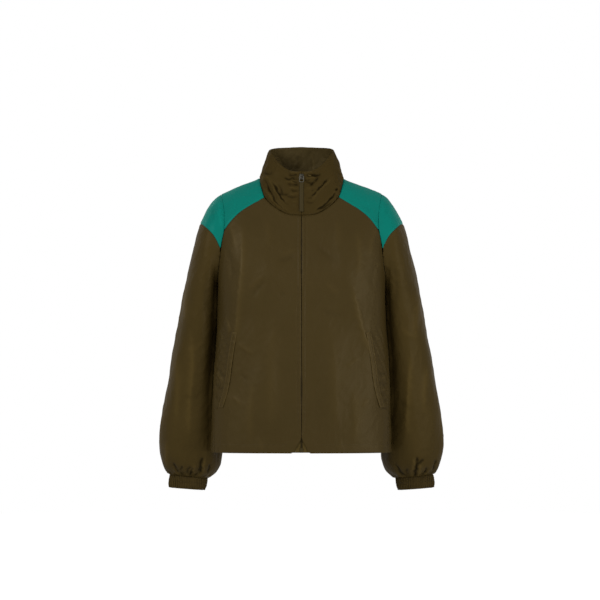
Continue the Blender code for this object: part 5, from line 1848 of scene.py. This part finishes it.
@dataclass
class Sewing:
    """Every row of stitches on the jacket.

    Attributes:
        cloth: the faces after their folds.
        rows: where the stitches go.
        pitch: distance from one stitch to the next.
        cuff_pitch: the same on the cuffs.
        pocket_pitch: the same on the pocket edges.
        zip_inset: distance of the row beside the zip from its edge.
        cuff_insets: distances of the cuff's rows from the sleeve.
        pocket_inset: distance of the pocket's row from its edges.
        collar_insets: distances of the collar's rows from the neck seam and from its top.
        hem_corner: distance from the middle where the hem's row starts.
        surfaces: the faces, searchable.
    """

    cloth: Cloth
    rows: Stitching
    pitch: float = 0.0032
    cuff_pitch: float = 0.0036
    pocket_pitch: float = 0.0028
    zip_inset: float = 0.0078
    cuff_insets: tuple[float, float] = (0.0040, 0.0145)
    pocket_inset: float = 0.0020
    collar_insets: tuple[float, float] = (0.0026, 0.0046)
    hem_corner: float = 0.030
    surfaces: dict[str, BVHTree] = field(default_factory=dict)

    def _along(self, node: str, wanted: Test, inset: float = SEAM_INSET, pitch: float | None = None) -> None:
        """Sews along part of a piece's outline, so far inside it."""
        for line in self.cloth.skins[node].seam_lines(wanted, inset):
            self.rows.row(line, self.surfaces[node], pitch or self.pitch)

    def build(self) -> None:
        """Sews everything."""
        self.surfaces = {node: skin.surface() for node, skin in self.cloth.skins.items()}
        beside, away_from = self.cloth.beside, self.cloth.away_from
        for side in Side:
            front, sleeve, cuff, cap, yoke, pocket = (f"{kind}_{side.label}" for kind in (
                "front", "sleeve", "cuff", "sleeve_cap", "yoke", "pocket"))
            for node in (front, "back"):
                self._along(node, beside(yoke))
                self._along(node, beside(sleeve, cap))
            self._along("back", beside(front))
            self._along(sleeve, beside(cap))
            self._along(front, lambda spot: spot.z < HEM_BAND and abs(spot.x) > self.hem_corner, HEM_TURN)
            self._along(front, lambda spot: abs(spot.x) < 0.0035, self.zip_inset)
            for inset in self.cuff_insets:
                self._along(cuff, beside(sleeve), inset, self.cuff_pitch)
            self._along(cuff, away_from(sleeve), self.cuff_insets[0], self.cuff_pitch)
            self._along(pocket, lambda spot: True, self.pocket_inset, self.pocket_pitch)
        self._along("back", lambda spot: spot.z < HEM_BAND, HEM_TURN)
        neck = ("front_left", "front_right", "back", "yoke_left", "yoke_right")
        self._along("collar", beside(*neck), self.collar_insets[0])
        self._along("collar", away_from(*neck), self.collar_insets[1])
        self.rows.finish_piece()


@dataclass
class Zip:
    """Tapes and teeth of the zip.

    Attributes:
        finishes: the materials.
        pitch: distance from one tooth to the next on the same tape.
        reach: how far a tooth reaches out from the middle.
        tall: height of a tooth.
        deep: thickness of a tooth.
        soft: rounding of its edges.
        box: width, thickness and height of the retainer at the bottom.
        box_soft: rounding of its edges.
        tape: width and length of a tape; not used.
        tape_wall: its thickness.
        tape_edge: width of its thicker woven edge.
        tape_reach: how far the tapes reach in under the teeth.
        top_gap: distance from the last tooth to the chain's upper end.
    """

    finishes: Wardrobe
    pitch: float = 0.0029
    reach: float = 0.0024
    tall: float = 0.0015
    deep: float = 0.0019
    soft: float = 0.0004
    box: tuple[float, float, float] = (0.0068, 0.0026, 0.0100)
    box_soft: float = 0.0006
    tape: tuple[float, float] = (0.0208, 0.642)
    tape_wall: float = 0.0007
    tape_edge: float = 0.0016
    tape_reach: float = 0.0026
    top_gap: float = 0.012

    def build(self) -> None:
        """Builds both tapes, the chain and its retainer."""
        for side in Side:
            self._tape(side)
        route = Route(self._middle())
        self._teeth(route)
        self._retainer(*map(Vector, route.knots[:2]))

    def _tape(self, side: Side) -> None:
        """Builds one woven tape.

        Args:
            side: the front that it is sewn to.
        """
        node = f"zip_tape_{side.label}"
        skin = Skin(node, 1)
        edge, _ = skin.from_edge(lambda spot: True)
        near = fade(np.abs(skin.points[:, 0]), 0.0029, 0.0125)
        woven = fade(edge, 0.0, self.tape_edge)
        skin.points = skin.points - np.outer(near, (side.value * self.tape_reach, 0.0, 0.0))
        skin.push(0.0003 * woven)
        # Painted highlight along the raised woven edge.
        skin.store("fold", 0.3 * woven)
        skin.unroll(Jacket.body_centre)
        piece = skin.shell(f"{node}_woven", self.finishes.tape, self.tape_wall)

    @staticmethod
    def _middle() -> np.ndarray:
        """Finds the line that the teeth follow.

        Returns:
            The middle of the chain's outer face, from the hem up.
        """
        verts = frame["nodes"]["zip_chain"].data.vertices
        spots = np.array(sorted((tuple(vert.co) for vert in verts), key=lambda spot: spot[2]))
        rows = np.split(spots, np.flatnonzero(np.diff(spots[:, 2]) > 0.0022) + 1)
        return np.array([(0.0, row[:, 1].min(), row[:, 2].mean()) for row in rows if len(row)])

    @staticmethod
    def _block(size: Sequence[float], soft: float, low: Vector, high: Vector,
               shift: Sequence[float]) -> bpy.types.Mesh:
        """Small block with rounded edges, stood on the chain.

        Args:
            size: its width, thickness and height.
            soft: rounding.
            low: where it stands.
            high: a place farther along the chain.
            shift: how far its middle is from there, across, in and along the chain.

        Returns:
            The block's mesh.
        """
        across = Vector((1, 0, 0))
        up = (high - low).normalized()
        inward = across.cross(up).normalized()
        bm = bmesh.new()
        bmesh.ops.create_cube(bm, size=1.0, matrix=Matrix.Diagonal((*size, 1.0)))
        bmesh.ops.bevel(bm, geom=bm.edges[:], offset=soft, segments=1, profile=0.5,
                        affect="EDGES", material=-1)
        mesh = mesh_from("block", bm)
        mesh.transform(Matrix.Translation(low) @ turned(across, inward, up) @ Matrix.Translation(shift))
        return mesh

    def _teeth(self, route: Route) -> None:
        """Builds the interlocking teeth.

        Args:
            route: the chain's middle.
        """
        body = bmesh.new()
        spots = np.arange(self.box[2] + 0.001, route.run[-1] - self.top_gap, self.pitch / 2)
        for number, along in enumerate(spots):
            side = self.reach * (0.46 if number % 2 else -0.46)
            tooth = self._block((self.reach * 1.15, self.deep, self.tall), self.soft, route.at(along),
                                route.at(along + 0.001), (side, self.deep * 0.5, 0))
            body.from_mesh(tooth)
            bpy.data.meshes.remove(tooth)
        piece = new_piece("zip_teeth", mesh_from("zip_teeth", body), self.finishes.teeth)
        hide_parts("zip_chain")
        slot_of("zip_chain")

    def _retainer(self, low: Vector, high: Vector) -> None:
        """Builds the moulded box that holds the zip's foot together.

        Args:
            low: lowest place of the chain.
            high: the next one up.
        """
        block = self._block(self.box, self.box_soft, low, high, (0, self.box[1] * 0.5, self.box[2] * 0.5))
        piece = new_piece("zip_retainer", block, self.finishes.strap)
        slot_of("zip_chain")


@dataclass
class Hardware:
    """Slider, link and strap, dressed where they stand.

    Attributes:
        finishes: the materials.
    """

    finishes: Wardrobe

    def build(self) -> None:
        """Dresses the three hard solids."""
        self._dress("zip_slider", self.finishes.steel, 0.00025, GARMENT)
        self._dress("zip_link", self.finishes.link, 0.0003, PULL)
        self._dress("zip_strap", self.finishes.strap, 0.0004, PULL)

    @staticmethod
    def _dress(node: str, finish: bpy.types.Material, soft: float, rides: str) -> None:
        """Gives a solid its finish and worn, rounded edges.

        Args:
            node: the solid.
            finish: its material.
            soft: rounding of its edges.
            rides: the body that it moves with.
        """
        name = f"{node}_finished"
        bm = bmesh.new()
        bm.from_mesh(frame["nodes"][node].data)
        bmesh.ops.remove_doubles(bm, verts=bm.verts, dist=MERGE)
        bmesh.ops.recalc_face_normals(bm, faces=bm.faces)
        piece = new_piece(name, mesh_from(name, bm), finish, rides)
        round_edges(piece, soft, 2, 35).harden_normals = True
        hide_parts(node)
        slot_of(node)


@dataclass
class Studio:
    """White sweep, soft lights and the camera.

    Attributes:
        finishes: the materials.
        floor_height: height of the floor.
        floor_radius: its radius.
        sky: how bright the surroundings are as a light.
        target: what the lights look at.
        eye: where the camera stands.
        lens: focal length in millimetres on a 36 mm sensor.
    """

    finishes: Wardrobe
    floor_height: float = -0.80
    floor_radius: float = 1.8
    sky: float = 0.43
    target: tuple[float, float, float] = (0.0, 0.0, -0.27)
    eye: tuple[float, float, float] = (-0.0033, -9.0, -0.242)
    lens: float = 245.4

    def build(self) -> None:
        """Builds the sweep, then key, fill and two lights behind for the hidden sides."""
        self._world()
        self._floor()
        self._light("key", (-2.2, -2.9, 1.2), 1.3, 50.0, True)
        self._light("fill", (2.5, -2.7, -0.45), 1.8, 45.0, True)
        self._light("back_left", (-2.2, 3.0, 1.5), 1.6, 78.0, False)
        self._light("back_right", (2.1, 3.0, 0.9), 1.8, 62.0, False)
        self._camera()
        view = bpy.context.scene.view_settings
        view.view_transform = "Standard"
        view.look = "None"
        view.exposure = 0.0
        view.gamma = 1.0

    def _world(self) -> None:
        """White where the camera sees it, softer as a light."""
        world = bpy.data.worlds.new("studio")
        bpy.context.scene.world = world
        world.use_nodes = True
        tree = world.node_tree
        back = tree.nodes["Background"]
        rays = tree.nodes.new("ShaderNodeLightPath")
        mix = tree.nodes.new("ShaderNodeMix")
        mix.inputs[2].default_value = self.sky
        mix.inputs[3].default_value = 1.0
        tree.links.new(rays.outputs["Is Camera Ray"], mix.inputs[0])
        tree.links.new(mix.outputs[0], back.inputs["Strength"])
        back.inputs["Color"].default_value = (1.0, 1.0, 1.0, 1.0)

    def _floor(self) -> None:
        """Pale floor far enough below to take no shadow edge."""
        bm = bmesh.new()
        bmesh.ops.create_circle(bm, cap_ends=True, segments=96, radius=self.floor_radius,
                                matrix=Matrix.Translation((0, 0, self.floor_height)))
        floor = placed("studio_floor", mesh_from("floor", bm))
        floor.data.materials.append(self.finishes.paper)
        floor.visible_diffuse = False
        floor.visible_glossy = False

    def _light(self, name: str, spot: tuple[float, float, float], size: float, power: float,
               mirrored: bool) -> None:
        """Adds a square soft light that looks at the jacket.

        Args:
            name: its name.
            spot: where it stands.
            size: its side.
            power: its power in watts.
            mirrored: whether it shows in glossy surfaces.
        """
        lamp = bpy.data.lights.new(name, "AREA")
        lamp.energy = power
        lamp.size = size
        light = placed(name, lamp)
        light.location = spot
        light.visible_glossy = mirrored
        aim = Vector(self.target) - Vector(spot)
        light.rotation_euler = aim.to_track_quat("-Z", "Y").to_euler()

    def _camera(self) -> None:
        """Level camera in front, as in the photo."""
        lens = bpy.data.cameras.new("camera")
        lens.lens = self.lens
        lens.sensor_width = 36.0
        camera = placed("camera", lens)
        camera.location = self.eye
        camera.rotation_euler = (math.radians(90), 0.0, 0.0)
        bpy.context.scene.camera = camera


def main() -> None:
    """Builds the jacket and its studio."""
    logging.basicConfig(level=logging.INFO, format="%(message)s")
    finishes = Wardrobe()
    cloth = Cloth()
    cloth.read()
    jacket = Jacket(cloth, finishes)
    jacket.build()
    jacket.build_collar()
    jacket.build_sleeves()
    jacket.build_pockets()
    Sewing(cloth, Stitching("olive_stitching", finishes.thread)).build()
    cloth.tuck()
    Zip(finishes).build()
    Hardware(finishes).build()
    Studio(finishes).build()


if __name__ == "__main__":
    main()
